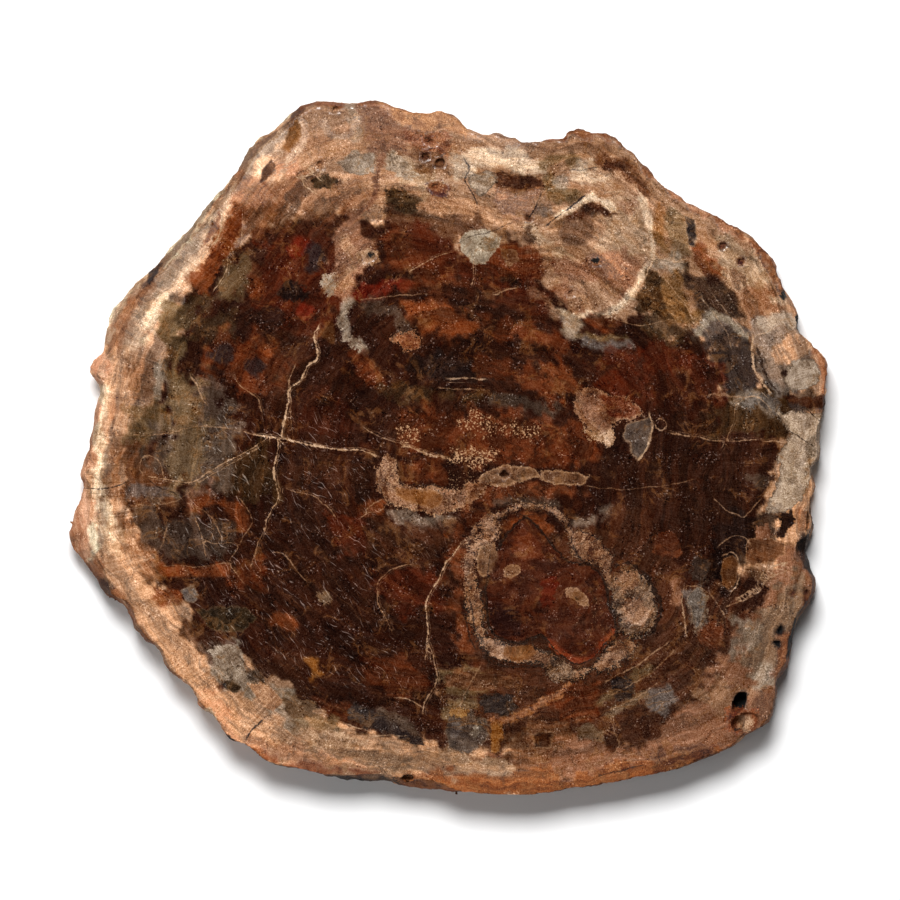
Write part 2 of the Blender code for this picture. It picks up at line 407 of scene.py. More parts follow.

# %% [markdown]
# ## The kinds of stone
# Each kind is a mixture: a main colour, a second one that streaks it, how much of the second comes in, how
# far light and dark bands along the rings take its place, how many pale grains lie in it, and how well it
# took the polish. In agate the second colour lies in clouds, not streaks. Colours are written as a painter
# would pick them, in sRGB, and turned into linear light for the render. The kinds of the left side are
# set paler and those of the right and the lower right darker: partly the stone's own colour, and partly
# painted light and shade, as a light from the left would fall on it.

# %% Kinds of stone
# Main colour, second colour, how much of it, bands, grains, polish
KINDS = {
    # Pale bark: partly its own colour, partly painted light on the left edge
    "pale_bark_and_light": ((252, 240, 208), (240, 188, 152), 0.8, 0.2, 0.0, 0.0),
    "bark_peach": ((242, 184, 148), (193, 125, 90), 0.8, 0.3, 0.0, 0.0),
    "bark_rust": ((160, 102, 70), (112, 66, 44), 0.9, 0.3, 0.1, 0.0),
    "bark_brown": ((118, 78, 54), (66, 43, 31), 0.9, 0.3, 0.1, 0.0),
    "bark_grey": ((90, 72, 62), (52, 40, 34), 0.9, 0.1, 0.0, 0.0),
    # Dark bark: partly its own colour, partly painted shade on walls turned from the light and in holes
    "dark_bark_and_shade": ((50, 32, 23), (30, 19, 14), 0.9, 0.1, 0.0, 0.0),
    "rim_orange": ((161, 98, 58), (101, 57, 33), 0.9, 0.5, 0.1, 0.2),
    "bright": ((252, 222, 187), (208, 166, 133), 0.6, 0.8, 0.0, 0.6),
    "cream": ((239, 196, 159), (177, 133, 100), 0.7, 0.9, 0.0, 0.6),
    "tan": ((202, 152, 114), (141, 96, 65), 0.8, 0.9, 0.0, 0.6),
    "honey": ((173, 113, 73), (115, 69, 41), 0.8, 0.9, 0.0, 0.6),
    "umber": ((128, 84, 56), (72, 45, 29), 0.9, 0.9, 0.0, 0.8),
    "ash": ((177, 157, 138), (117, 96, 79), 0.9, 0.7, 0.0, 0.8),
    "white": ((198, 173, 149), (138, 115, 96), 0.8, 0.3, 0.0, 0.9),
    "sandy": ((190, 144, 110), (108, 69, 45), 0.8, 0.5, 0.1, 0.8),
    "cocoa": ((120, 78, 52), (72, 44, 29), 0.9, 0.5, 0.1, 0.9),
    "pink_brown": ((154, 106, 79), (101, 64, 44), 0.8, 0.5, 0.1, 0.8),
    "amber": ((165, 108, 58), (103, 60, 30), 0.8, 0.5, 0.0, 1.0),
    "ochre": ((188, 142, 86), (129, 86, 47), 0.8, 0.4, 0.0, 1.0),
    "olive_tan": ((134, 106, 73), (79, 58, 37), 0.9, 0.5, 0.0, 1.0),
    "olive": ((76, 55, 34), (44, 31, 19), 0.9, 0.5, 0.0, 1.0),
    "blue": ((112, 98, 90), (72, 60, 55), 0.8, 0.4, 0.0, 1.0),
    "ink": ((38, 31, 29), (58, 48, 45), 0.8, 0.3, 0.0, 1.0),
    "heart": ((55, 29, 16), (32, 19, 13), 0.9, 0.6, 0.2, 1.0),
    "red": ((86, 37, 18), (54, 25, 13), 0.9, 0.6, 0.1, 1.0),
    "rust": ((100, 49, 24), (64, 31, 16), 0.9, 0.9, 0.1, 1.0),
    "orange": ((124, 64, 32), (82, 38, 18), 0.9, 0.8, 0.1, 1.0),
    "brown": ((76, 44, 27), (48, 27, 16), 0.9, 0.7, 0.1, 1.0),
    "dark_olive": ((70, 47, 26), (42, 29, 17), 0.9, 0.6, 0.1, 1.0),
    "black": ((34, 23, 17), (50, 30, 19), 0.9, 0.4, 0.1, 1.0),
    "grey": ((90, 71, 57), (54, 38, 28), 0.9, 0.6, 0.1, 1.0),
    "crust_cream": ((192, 152, 119), (131, 93, 67), 1.0, 0.2, 0.4, 0.8),
    "crust": ((162, 115, 85), (98, 63, 43), 1.0, 0.2, 0.5, 0.8),
    "scarlet": ((132, 44, 24), (84, 28, 15), 0.8, 0.3, 0.1, 1.0),
    "dark_orange": ((104, 55, 30), (70, 36, 20), 0.9, 0.8, 0.1, 1.0),
    "dark_brown": ((58, 33, 20), (40, 24, 16), 0.9, 0.7, 0.1, 1.0),
    "dark_grey": ((76, 58, 46), (50, 37, 29), 0.9, 0.7, 0.1, 1.0),
    "pale_grey": ((124, 102, 86), (84, 64, 51), 0.9, 0.9, 0.1, 1.0),
    "green": ((60, 45, 28), (40, 30, 19), 0.9, 0.5, 0.1, 1.0),
    "dark_amber": ((146, 92, 42), (104, 62, 28), 0.8, 0.4, 0.0, 1.0),
    "brown_amber": ((108, 66, 34), (74, 44, 24), 0.9, 0.6, 0.0, 1.0),
    "dark_ochre": ((132, 92, 50), (84, 56, 33), 0.9, 0.7, 0.0, 1.0),
    "slate": ((121, 108, 98), (71, 60, 53), 0.9, 0.7, 0.0, 1.0),
    "milk": ((154, 138, 121), (105, 89, 76), 0.8, 0.3, 0.0, 1.0),
    "sand": ((200, 142, 96), (156, 106, 72), 0.6, 0.5, 0.1, 0.4),
    "pale_cream": ((204, 170, 138), (118, 88, 64), 0.9, 0.4, 0.0, 0.9),
    "peach": ((220, 157, 116), (161, 104, 72), 0.7, 0.7, 0.0, 0.6),
    "low_tan": ((163, 125, 94), (108, 77, 55), 0.9, 0.7, 0.1, 0.6),
    "low_cream": ((202, 161, 127), (137, 100, 73), 0.9, 0.5, 0.1, 0.7),
    "rim_red": ((152, 86, 55), (106, 58, 38), 0.9, 0.5, 0.1, 0.2),
    "east_tan": ((136, 106, 81), (86, 63, 46), 0.9, 0.6, 0.2, 0.6),
    "corner_brown": ((140, 93, 64), (102, 66, 46), 0.8, 0.4, 0.2, 0.5),
    # Inside of a hole: painted shade, nearly black
    "pit": ((16, 10, 8), (28, 17, 12), 0.5, 0.0, 0.0, 0.0),
    "knot_core": ((86, 44, 26), (56, 29, 18), 0.9, 0.4, 0.1, 1.0),
    "knot_rim": ((150, 74, 46), (98, 42, 25), 0.8, 0.3, 0.6, 0.9),
    "rough_brown": ((136, 84, 56), (78, 46, 30), 1.0, 0.1, 0.2, 0.1),
    "crust_pink": ((182, 123, 88), (119, 69, 46), 1.0, 0.1, 0.5, 0.8),
    "white_grey": ((182, 165, 144), (136, 117, 98), 0.8, 0.2, 0.0, 0.9),
    "knot_rust": ((116, 60, 34), (84, 40, 23), 0.8, 0.3, 0.1, 1.0),
    "knot_red": ((96, 34, 16), (74, 28, 14), 0.7, 0.2, 0.1, 1.0),
    "knot_dark": ((62, 33, 22), (42, 24, 18), 0.8, 0.2, 0.1, 1.0),
    "ring_tan": ((164, 120, 90), (104, 70, 50), 0.8, 0.1, 0.5, 0.7),
    "ring_grey": ((146, 114, 90), (66, 48, 37), 0.9, 0.1, 0.5, 0.8),
    "lens_brown": ((128, 92, 66), (92, 62, 44), 0.8, 0.4, 0.2, 0.9),
    "clear_amber": ((146, 94, 54), (112, 68, 38), 0.8, 0.2, 0.0, 0.9),
    "bean_tan": ((134, 94, 66), (92, 58, 38), 0.9, 0.2, 0.5, 0.9),
    "agate": ((96, 78, 66), (62, 49, 42), 0.9, 0.2, 0.0, 1.0),
    "agate_tan": ((118, 90, 66), (84, 62, 44), 0.9, 0.3, 0.1, 1.0),
    "dark_agate": ((66, 52, 44), (38, 30, 27), 0.9, 0.3, 0.0, 1.0),
    "cell_brown": ((72, 42, 24), (48, 29, 17), 0.8, 0.2, 0.0, 1.0),
}
print(len(KINDS), "kinds")


# %% From a painter's colours to mixtures
def linear(colour):
    """An sRGB colour, 0 to 255, as linear light."""
    share = np.array(colour) / 255
    return np.where(share <= 0.04045, share / 12.92, ((share + 0.055) / 1.055) ** 2.4)


# Columns of a mixture
MAIN, SECOND, TRAITS = slice(0, 3), slice(3, 6), slice(6, 9)
COLOURS, OTHERS = slice(0, 6), slice(6, 10)
QUARTZ, POLISH = 8, 9

STONE_SHARE = 0.70
DARKEST = 0.001
WARMTH = (1.02, 0.98, 0.92)
MIRRORED = np.array((0.003, 0.0025, 0.0012))
MIRRORED_DULL = 0.015


def stone_colour(colour, polish):
    """The stone's own colour: less than is seen, by the white light that it mirrors, most where dull."""
    mirrored = MIRRORED + MIRRORED_DULL * (1 - polish)
    return np.maximum(STONE_SHARE * linear(colour) * WARMTH - mirrored, DARKEST)


MIXTURES = {
    name: np.concatenate((stone_colour(main, traits[3]), stone_colour(second, traits[3]), traits))
    for name, (main, second, *traits) in KINDS.items()
}
ground = np.tile(MIXTURES["tan"], (len(places), 1)).astype(np.float32)
print("painting", len(ground), "corners")


# %% Stain the ground
def soft_step(depth, softness):
    """0 outside the edge, 1 inside it, and a smooth blend as wide as the softness between them."""
    share = np.clip(depth / softness + 0.5, 0, 1)
    return share * share * (3 - 2 * share)


EDGE_SHARE = 0.6


def stain(stains):
    """Blends stains into the ground in turn: shape, kind, softness of the edge in pixels, strength."""
    for shape, kind, softness, strength in stains.values():
        near, depth = depth_near(shape, 2 * softness)
        share = (strength * soft_step(depth + softness * tear[near], EDGE_SHARE * softness))[:, None]
        ground[near] += share * (MIXTURES[kind] - ground[near])
    print(len(stains), "stains")


# %% [markdown]
# ## The broad zones
# The slice has a dark heart, a cream sapwood on the left, a mosaic of tan and white agate at the top, an
# orange lower edge, brown cells at the lower right and a white corner at the right. These broad areas
# come first, and everything else is painted over them.

# %% Stain the broad zones
ZONES = {
    "mosaic": (area(290,90, 470,100, 620,120, 720,200, 800,290, 830,380, 760,400, 700,340, 640,330, 540,300,
        460,240, 380,225, 300,225, 270,200), "sandy", 10, 1),
    "edge": (area(420,755, 640,742, 760,690, 790,700, 700,780, 560,800, 420,800), "rim_orange", 10, 1),
    "low": (area(560,740, 600,690, 650,650, 670,580, 740,580, 800,540, 830,560, 800,680, 740,740, 640,765,
        500,760), "pink_brown", 12, 1),
    "cell_ground": (area(440,755, 430,690, 480,670, 560,690, 640,660, 660,570, 720,560, 760,600, 720,660,
        700,700, 640,745, 560,750), "brown", 14, 1),
    "under_knot": (area(430,550, 490,500, 600,500, 690,560, 700,640, 640,700, 560,725, 430,720), "brown", 8,
        1),
    "heart": (area(124,500, 126,440, 150,405, 172,345, 184,300, 196,275, 225,258, 250,240, 285,222, 330,212,
        360,222, 400,222, 440,232, 462,262, 505,240, 535,252, 548,285, 590,325, 640,312, 672,335, 705,345,
        712,395, 745,405, 775,425, 783,445, 768,480, 764,510, 745,545, 715,580, 670,590, 640,560, 600,540,
        500,540, 470,600, 475,665, 440,690, 440,740, 400,735, 345,728, 300,695, 265,668, 235,652, 200,640,
        185,605, 150,575, 138,545), "heart", 7, 1),
}
stain(ZONES)

# %% [markdown]
# ## The left side and the bark
# From the edge inwards lie a pink, crumbled skin of bark, a cream band with fine rays, and a thin brown
# band against the heart. The pale peach and near-white bark of this edge is partly its own colour and
# partly painted light, as a light from the left would show it. On the upper left the bark splits along
# a dark seam.

# %% Stain the left side
LEFT_SIDE = {
    "upper_sapwood": (line(26, 136,345, 150,312, 176,276, 204,238, 230,202, 254,168, 284,132), "cream",
        12, 0.8),
    "upper_edge": (line(13, 103,345, 112,312, 135,285, 160,262, 188,232, 210,198, 230,166, 246,142, 270,126,
        296,105), "pale_bark_and_light", 6, 0.9),
    "upper_brown_band": (line(17, 111,350, 121,322, 136,298, 150,283), "bark_rust", 6, 0.6),
    "upper_cream_streaks": (line(18, 142,345, 152,315, 172,285, 196,258), "ash", 9, 0.4),
    "upper_cream_bright": (line(8, 146,340, 154,318, 166,298), "bright", 5, 0.8),
    "upper_seam": (line(6, 145,285, 158,272, 170,255, 186,238, 200,218, 214,202, 224,190, 238,176, 250,152,
        264,140, 276,132, 292,121, 304,108), "bark_brown", 3, 0.75),
    "seam_lump": (oval(156, 273, 9, 5, -50), "bark_grey", 3, 0.9),
    "seam_lump_top": (oval(296, 114, 11, 4, -55), "bark_brown", 3, 0.9),
    "yellow_lens": (oval(294, 138, 6, 15, 15), "amber", 5, 0.95),
    "cream_below_column": (area(272,160, 300,165, 300,185, 282,178, 268,182), "honey", 6, 0.8),
    "mixed_brown": (area(240,175, 262,180, 280,205, 268,232, 240,245, 222,240, 226,208), "honey", 9, 0.9),
    "orange_oval": (oval(290, 192, 16, 12, -10), "umber", 6, 0.9),
    "rust_lens": (oval(309, 175, 12, 5, 5), "umber", 3, 0.9),
    "left_streaks": (area(120,440, 150,436, 178,485, 178,512, 135,512, 122,480), "umber", 10, 0.6),
    "orange_edge": (line(17, 243,212, 226,226, 219,246, 212,264, 198,284), "orange", 9, 0.95),
    "olive_heart_edge": (area(228,262, 252,250, 262,275, 245,300, 225,300, 218,280), "olive_tan", 9, 0.5),
    "squiggle": (oval(178, 299, 9, 5, -20), "bark_grey", 4, 0.8),
    "tan_mottle": (area(163,305, 185,305, 190,325, 182,345, 165,345, 158,325), "olive_tan", 7, 0.9),
    "olive_column": (line(12, 196,300, 188,320, 178,345), "olive", 6, 0.8),
    "point": (area(86,367, 96,352, 112,352, 112,380, 98,392), "bark_peach", 5, 0.95),
    "brown_streaks": (area(128,352, 152,345, 158,370, 156,402, 132,400, 126,380), "umber", 8, 0.75),
    "grey_column": (oval(160, 380, 6, 20, 8), "ash", 4, 0.85),
    "dark_by_column": (line(8, 172,350, 168,372, 169,400), "olive", 5, 0.75),
    "tan_loop": (line(6, 184,345, 176,365, 177,382, 186,392), "olive_tan", 4, 0.7),
    "sap_pale_band": (line(20, 104,395, 102,430, 101,470, 106,505, 116,545), "bright", 9, 0.85),
    "sap_pale": (area(105,520, 128,530, 150,565, 175,590, 170,610, 130,590, 104,560), "tan", 14, 0.7),
    "brown_band": (area(112,430, 124,430, 124,480, 122,500, 106,498, 108,460), "umber", 6, 0.8),
    "tan_band": (line(9, 118,400, 110,430, 107,470), "honey", 7, 0.7),
    "brown_cells": (area(113,510, 127,512, 128,530, 114,526), "umber", 4, 0.8),
    "crumbled_edge": (line(12, 96,405, 91,430, 87,455, 82,475, 82,500), "bark_peach", 5, 0.9),
    "crumbled_spots": (line(5, 94,425, 88,460, 84,480), "bark_rust", 4, 0.5),
    "bulge": (area(66,530, 74,500, 92,498, 94,530, 92,560, 80,568, 70,550), "bark_peach", 5, 0.95),
    "bulge_rust": (line(5, 75,505, 82,525, 80,550), "bark_rust", 5, 0.5),
    "bulge_light": (line(6, 93,525, 94,545, 88,562), "pale_bark_and_light", 4, 0.8),
    "rust_rim": (line(17, 92,570, 106,590, 124,606, 136,628, 148,645), "bark_rust", 6, 0.85),
    "grey_lumps": (oval(108, 585, 8, 6, 40), "bark_grey", 4, 0.7),
    "mid_cream": (line(26, 140,600, 160,632, 180,660), "tan", 12, 0.8),
    "streaky_heart_edge": (line(16, 128,505, 140,540, 158,575), "honey", 12, 0.6),
    "brown_cell": (area(154,585, 170,583, 186,592, 182,603, 165,602, 155,597), "orange", 4, 0.85),
}
stain(LEFT_SIDE)

# %% [markdown]
# ## The top
# The top is a breccia: pieces of cream, white, olive and brown agate set in a sandy brown crust, with the
# round end of a pale knot on its right.

# %% Stain the top
TOP = {
    "rim_brown": (line(14, 312,103, 345,101, 385,101, 415,110, 437,108, 458,122, 482,134, 515,138, 560,137,
        575,131), "bark_rust", 6, 0.9),
    "sandy_band": (line(17, 388,108, 404,119, 428,127, 446,121, 468,130), "sand", 5, 0.95),
    "pink_area": (area(352,105, 385,108, 415,130, 412,158, 385,150, 352,140), "pink_brown", 8, 0.9),
    "pale_loop": (line(9, 352,108, 357,122, 354,140), "white", 6, 0.7),
    "cream_patch": (area(400,160, 430,168, 445,185, 425,200, 400,185), "pale_cream", 9, 0.85),
    "grey_tan": (area(332,182, 370,180, 365,212, 345,216, 330,205), "umber", 8, 0.75),
    "grey_streaked": (area(386,196, 402,190, 420,200, 418,216, 400,222, 390,212), "olive", 6, 0.85),
    "rough_crust": (area(415,132, 440,130, 450,150, 442,172, 425,172, 412,158), "cocoa", 7, 0.85),
    "rough_pink": (area(470,122, 500,130, 545,142, 560,150, 520,156, 490,160, 470,150), "sandy", 7, 0.85),
    "dark_bar": (area(494,178, 515,174, 540,178, 540,190, 515,193, 497,188), "cocoa", 4, 1),
    "pale_middle": (area(446,158, 480,150, 545,158, 548,176, 500,172, 452,182), "bright", 9, 0.6),
    "sand_below_bar": (area(500,196, 535,196, 535,215, 505,218, 495,205), "honey", 8, 0.7),
    "grey_slab": (area(540,205, 550,206, 557,218, 545,222, 536,214), "blue", 4, 0.8),
}
stain(TOP)

# %% [markdown]
# ## The north-east
# A pale knot ends in the face here, cream on top and crumbly pink below, with a lens of brown agate in
# it. Right of it follow amber, white crystals and a fan of white rays at the edge.

# %% Stain the knot and the fan of the north-east
NORTH_EAST = {
    "rim": (line(13, 575,130, 618,135, 640,160, 665,182, 700,210, 745,240, 770,262, 785,292), "bark_rust",
        6, 0.9),
    "grey_stripes": (line(9, 552,154, 578,147, 608,152), "cocoa", 6, 0.7),
    "olive_stripes": (line(10, 546,165, 558,158, 575,160), "olive_tan", 5, 0.8),
    "pale_stripe": (line(9, 577,163, 592,165, 600,170), "bright", 4, 0.55),
    "cream_stripe": (line(12, 574,176, 590,177, 610,182), "bright", 5, 0.45),
    "olive_round": (area(542,180, 552,172, 562,190, 580,192, 578,204, 562,208, 548,202), "olive_tan", 5,
        0.9),
    "grey_spot": (oval(563, 182, 8, 7), "ash", 5, 0.7),
    "brown_cloud": (line(13, 600,166, 615,167, 630,172), "cocoa", 5, 1),
    "brown_cloud_heart": (line(7, 610,170, 626,170), "brown", 5, 1),
    "second_cloud": (line(12, 628,180, 638,182, 645,190), "cocoa", 5, 1),
    "sand_over_knot": (line(6, 585,190, 600,188, 618,180, 634,196), "sandy", 4, 0.8),
    "knot_body": (area(598,200, 618,192, 640,202, 652,232, 648,256, 615,258, 592,250, 606,228, 602,214),
        "pale_cream", 5, 0.65),
    "knot_pink": (oval(625, 207, 10, 8, 30), "pink_brown", 6, 0.7),
    "lens_ground": (area(554,222, 570,212, 590,208, 598,222, 594,236, 580,246, 562,244), "brown", 4, 0.75),
    "lens_top": (line(12, 574,216, 590,209, 608,211), "brown", 4, 1),
    "white_edge": (line(6, 556,218, 568,211, 580,203, 590,197, 600,200, 612,206), "bright", 3, 0.95),
    "west_slope": (line(9, 530,230, 546,242, 562,256, 582,268), "pale_cream", 5, 0.85),
    "knot": (area(548,256, 575,262, 600,254, 646,256, 640,280, 618,306, 580,318, 562,300, 552,280),
        "pink_brown", 6, 0.9),
    "orange_in_knot": (area(590,258, 612,258, 632,266, 622,282, 604,276), "honey", 5, 0.9),
    "knot_porous": (area(568,284, 600,282, 622,288, 618,304, 590,314, 570,308), "crust_cream", 4, 0.6),
    "knot_rim": (line(6, 641,200, 651,222, 652,248, 644,272, 630,296, 606,314, 578,317, 556,310), "bright",
        2.5, 0.7),
    "west_of_knot": (line(9, 534,290, 546,300, 556,314), "sandy", 5, 0.8),
    "white_below_knot": (oval(572, 328, 9, 14, -20), "white", 7, 0.85),
    "rust_below_knot": (oval(606, 323, 22, 9), "rust", 5, 0.9),
    "olive_lens": (line(6, 578,338, 600,337, 622,336), "olive_tan", 4, 0.7),
    "blue_lens": (line(9, 585,343, 605,346, 628,343), "blue", 4, 0.9),
    "teardrop": (line(10, 656,204, 662,220, 658,240), "amber", 4, 0.9),
    "teardrop_tail": (line(8, 657,240, 663,252), "dark_ochre", 4, 0.8),
    "rim_peach": (line(7, 655,178, 690,206, 730,234), "bark_peach", 5, 0.6),
    "tan_east": (area(667,204, 678,208, 688,232, 690,256, 676,262, 668,240), "olive_tan", 4, 0.8),
    "grey_block": (line(16, 652,264, 668,262, 678,270), "ash", 5, 0.9),
    "orange": (line(20, 700,246, 706,260, 714,274), "orange", 6, 0.9),
    "pink": (area(716,234, 745,246, 765,270, 762,292, 740,286, 720,266), "pale_cream", 8, 0.9),
    "dark_by_orange": (oval(687, 276, 6, 12), "dark_olive", 4, 0.9),
    "dark_east": (area(680,270, 700,272, 720,280, 738,296, 744,314, 728,322, 706,320, 690,304), "black", 6,
        0.9),
    "ochre_field": (area(652,280, 678,278, 692,300, 705,322, 680,326, 655,310), "dark_ochre", 8, 0.9),
    "brown_by_knot": (area(648,264, 660,282, 664,308, 644,314, 630,310, 643,288), "dark_olive", 5, 1),
    "olive_field": (area(645,312, 690,325, 700,345, 660,345, 645,330), "olive", 8, 0.8),
    "grey": (area(690,330, 712,314, 722,312, 748,332, 742,345, 722,330, 704,345), "blue", 5, 0.9),
    "chevron_streak": (line(7, 692,340, 704,326, 718,315, 730,324, 742,338), "white_grey", 4, 0.8),
    "crystals_ground": (area(738,286, 776,288, 784,314, 750,320), "umber", 6, 0.9),
    "pale_stripe_east": (line(7, 762,298, 785,302), "pale_cream", 4, 0.7),
    "below_fan": (area(722,388, 776,380, 802,402, 796,424, 776,440, 735,425), "dark_olive", 6, 1),
    "below_grey": (line(16, 690,340, 712,352), "dark_brown", 6, 0.9),
    "fan": (area(750,318, 795,312, 806,336, 812,362, 800,390, 775,398, 762,384, 753,360), "slate", 4, 0.75),
    "fan_white": (line(14, 762,325, 782,322, 796,322), "white", 5, 0.75),
    "fan_tan": (area(770,348, 790,336, 808,336, 812,346, 794,362, 776,368), "tan", 4, 0.9),
    "fan_rim": (line(9, 814,350, 823,365, 822,390), "bark_rust", 4, 0.85),
    "blue_round": (area(712,345, 735,340, 754,352, 757,388, 730,397, 712,380), "ink", 6, 0.95),
    "fan_dark": (area(786,394, 812,390, 826,400, 820,408, 796,416), "ink", 5, 0.8),
}
stain(NORTH_EAST)

# %% [markdown]
# ## The heartwood
# Iron and carbon stain the heart. North of the pith the colour flows along the growth rings in rust and
# black bands. West of it the wood had rotted into small cells, red, orange, olive and blue-black.

# %% Stain the northern heart
NORTH_HEART = {
    "red_zone": (area(255,238, 300,226, 345,228, 360,262, 352,300, 330,330, 280,330, 248,300), "red", 16,
        0.75),
    "olive": (area(192,308, 238,305, 240,340, 205,345, 186,335), "olive", 12, 0.6),
    "rust": (area(205,345, 240,335, 285,340, 290,372, 262,395, 225,385, 200,378), "rust", 14, 0.75),
    "dark_drop": (area(262,335, 312,330, 318,365, 300,385, 285,405, 262,400), "brown", 14, 0.4),
    "crust": (area(335,226, 358,222, 372,245, 378,262, 366,270, 352,285, 350,305, 338,300, 328,285, 334,262,
        330,240), "pink_brown", 7, 0.95),
    "crust_pale": (line(9, 345,238, 350,262, 346,285), "sandy", 7, 0.8),
    "crust_tail": (line(9, 349,304, 344,318, 350,332, 362,350), "ash", 5, 0.75),
    "scarlet_cell": (oval(298, 249, 9, 12), "scarlet", 5, 0.75),
    "blue_cell": (oval(315, 256, 8, 14, 20), "ink", 8, 0.8),
    "dark_cell": (oval(260, 255, 11, 8), "black", 6, 0.7),
    "rust_cell": (oval(258, 290, 12, 10), "orange", 5, 0.7),
    "scarlet_cell_second": (oval(305, 312, 8, 9), "scarlet", 4, 0.75),
    "black_cell": (oval(273, 318, 15, 9), "black", 6, 0.85),
    "blue_cell_low": (oval(224, 356, 12, 10), "ink", 8, 0.8),
    "blue_cell_second": (oval(252, 366, 10, 8), "ink", 7, 0.8),
    "rust_cell_low": (oval(270, 347, 9, 8), "orange", 4, 0.8),
    "amber_cell": (oval(329, 333, 6, 12, -15), "brown_amber", 4, 0.85),
    "rust_north": (area(390,222, 440,232, 462,262, 440,285, 400,275, 385,250), "rust", 12, 0.75),
    "rust_top": (area(458,242, 510,240, 545,255, 548,285, 500,282, 465,270), "rust", 9, 0.85),
    "flow_red": (line(14, 362,292, 385,285, 405,282), "scarlet", 7, 0.75),
    "flow_dark": (line(12, 370,308, 395,312, 402,322), "grey", 8, 0.6),
    "flow_rust": (line(15, 410,285, 450,282, 490,292, 530,312), "rust", 9, 0.6),
    "flow_orange": (area(402,302, 430,300, 465,312, 475,332, 455,342, 425,330, 408,318), "orange", 8, 0.8),
    "flow_rust_middle": (line(20, 495,325, 530,335, 560,352), "rust", 11, 0.8),
    "rust_spot": (line(14, 352,345, 362,368, 384,382), "rust", 8, 0.8),
    "black_band": (area(408,352, 440,352, 486,368, 488,380, 440,384, 412,372), "black", 7, 0.95),
    "amber_band": (line(12, 388,392, 430,392, 480,398), "dark_olive", 9, 0.8),
    "grey_band": (line(13, 492,398, 520,404, 550,414), "grey", 7, 0.75),
    "orange": (area(540,362, 572,368, 578,392, 560,402, 545,385), "orange", 10, 0.75),
    "rust_middle": (line(20, 488,365, 520,375, 550,392), "rust", 11, 0.7),
    "red_in_dark": (area(300,395, 355,400, 362,440, 322,446, 305,425), "red", 14, 0.3),
    "olive_east": (area(700,400, 738,402, 742,430, 715,445, 695,432), "dark_olive", 9, 0.8),
    "grey_arch": (line(11, 736,402, 752,395, 768,412), "ash", 5, 0.4),
}
stain(NORTH_HEART)

# %% Stain the western heart
WEST_HEART = {
    "grains": (area(165,385, 205,392, 218,425, 190,432, 168,425), "grey", 10, 0.85),
    "olive": (area(128,402, 168,400, 172,430, 150,448, 126,440), "olive_tan", 10, 0.7),
    "grey_under_vein": (area(160,432, 235,434, 238,455, 200,470, 165,472, 140,455), "grey", 12, 0.9),
    "dark_olive": (area(208,458, 270,440, 275,500, 240,502, 210,480), "dark_olive", 12, 0.85),
    "grey_lens": (area(130,488, 160,484, 180,494, 150,498, 130,497), "blue", 5, 0.75),
    "orange": (area(186,486, 212,478, 216,505, 200,512, 188,502), "orange", 6, 0.85),
    "orange_second": (area(216,495, 240,500, 252,520, 246,530, 225,518), "orange", 7, 0.8),
    "grey": (area(132,505, 165,508, 160,540, 142,548, 130,530), "grey", 9, 0.85),
    "streaked": (area(168,520, 230,518, 232,558, 170,560, 158,545), "dark_grey", 9, 0.85),
    "orange_streak": (line(11, 165,566, 195,572, 230,569), "orange", 5, 0.95),
    "dark_under_streak": (line(10, 150,580, 190,583, 225,585), "heart", 6, 0.8),
    "rust_cells": (area(225,560, 262,560, 262,590, 232,592), "rust", 8, 0.7),
    "red_by_purple": (area(335,512, 362,516, 364,550, 345,556, 335,535), "red", 10, 0.75),
    "brown": (area(285,455, 370,458, 368,490, 330,480, 290,478), "brown", 12, 0.6),
    "amber_loop": (area(362,505, 378,495, 388,500, 380,512, 364,518), "orange", 5, 0.8),
    "rust": (area(378,568, 440,566, 438,608, 395,615, 380,595), "red", 12, 0.75),
    "orange_low": (oval(285, 620, 11, 9), "orange", 5, 0.85),
    "brown_low": (area(255,655, 300,650, 310,690, 280,682), "brown", 10, 0.7),
    "ochre": (area(306,660, 318,658, 324,676, 312,682), "dark_amber", 4, 0.9),
    "rust_low": (area(365,655, 410,665, 430,690, 400,700, 372,682), "rust", 12, 0.6),
    "rust_far": (area(320,700, 345,698, 350,722, 325,718), "rust", 8, 0.7),
}
stain(WEST_HEART)

# %% [markdown]
# ### Round the pith and the knot
# Rust lies over the pith, and thin bands of rust and brown wind round the knot under it.

# %% Stain round the pith and the knot
PITH_AND_KNOT = {
    "rust_speckled": (area(395,412, 460,412, 545,418, 600,430, 600,462, 520,466, 400,452), "rust", 12, 0.75),
    "red_block": (area(408,455, 442,460, 446,482, 425,486, 405,478), "rust", 7, 0.8),
    "grey_under_crescent": (area(392,512, 448,512, 455,522, 420,530, 395,528), "pale_grey", 7, 0.9),
    "brown_fan": (area(372,520, 400,528, 458,522, 462,545, 430,566, 380,560), "brown", 10, 0.8),
    "rust_fan": (line(14, 480,515, 462,535, 448,560), "rust", 9, 0.85),
    "rust_under_crescent": (line(15, 468,502, 495,492, 530,488, 572,494), "dark_orange", 8, 0.9),
    "arch_rust": (area(498,526, 520,512, 546,514, 564,530, 556,548, 532,522, 508,540), "orange", 5, 0.7),
    "purple_band": (line(6, 498,503, 520,500, 560,505), "grey", 4, 0.7),
    "rust_by_knot": (line(14, 460,545, 458,590, 462,635, 475,662), "dark_orange", 7, 0.9),
    "grey_streak": (line(7, 575,520, 590,518, 606,510), "pale_grey", 5, 0.8),
    "east_of_knot": (area(612,500, 655,500, 655,540, 625,545, 608,530), "brown", 9, 0.8),
    "below_knot_olive": (area(440,668, 485,668, 488,688, 460,702, 440,695), "olive_tan", 8, 0.7),
    "below_knot_rust": (area(545,690, 600,682, 602,716, 560,722), "rust", 7, 0.85),
}
stain(PITH_AND_KNOT)

# %% [markdown]
# ## The lower and right edges
# At the lower right the wood broke into cells before it turned to stone. Each healed with its own agate,
# in grey, olive or brown, and thin tan walls stand between them.

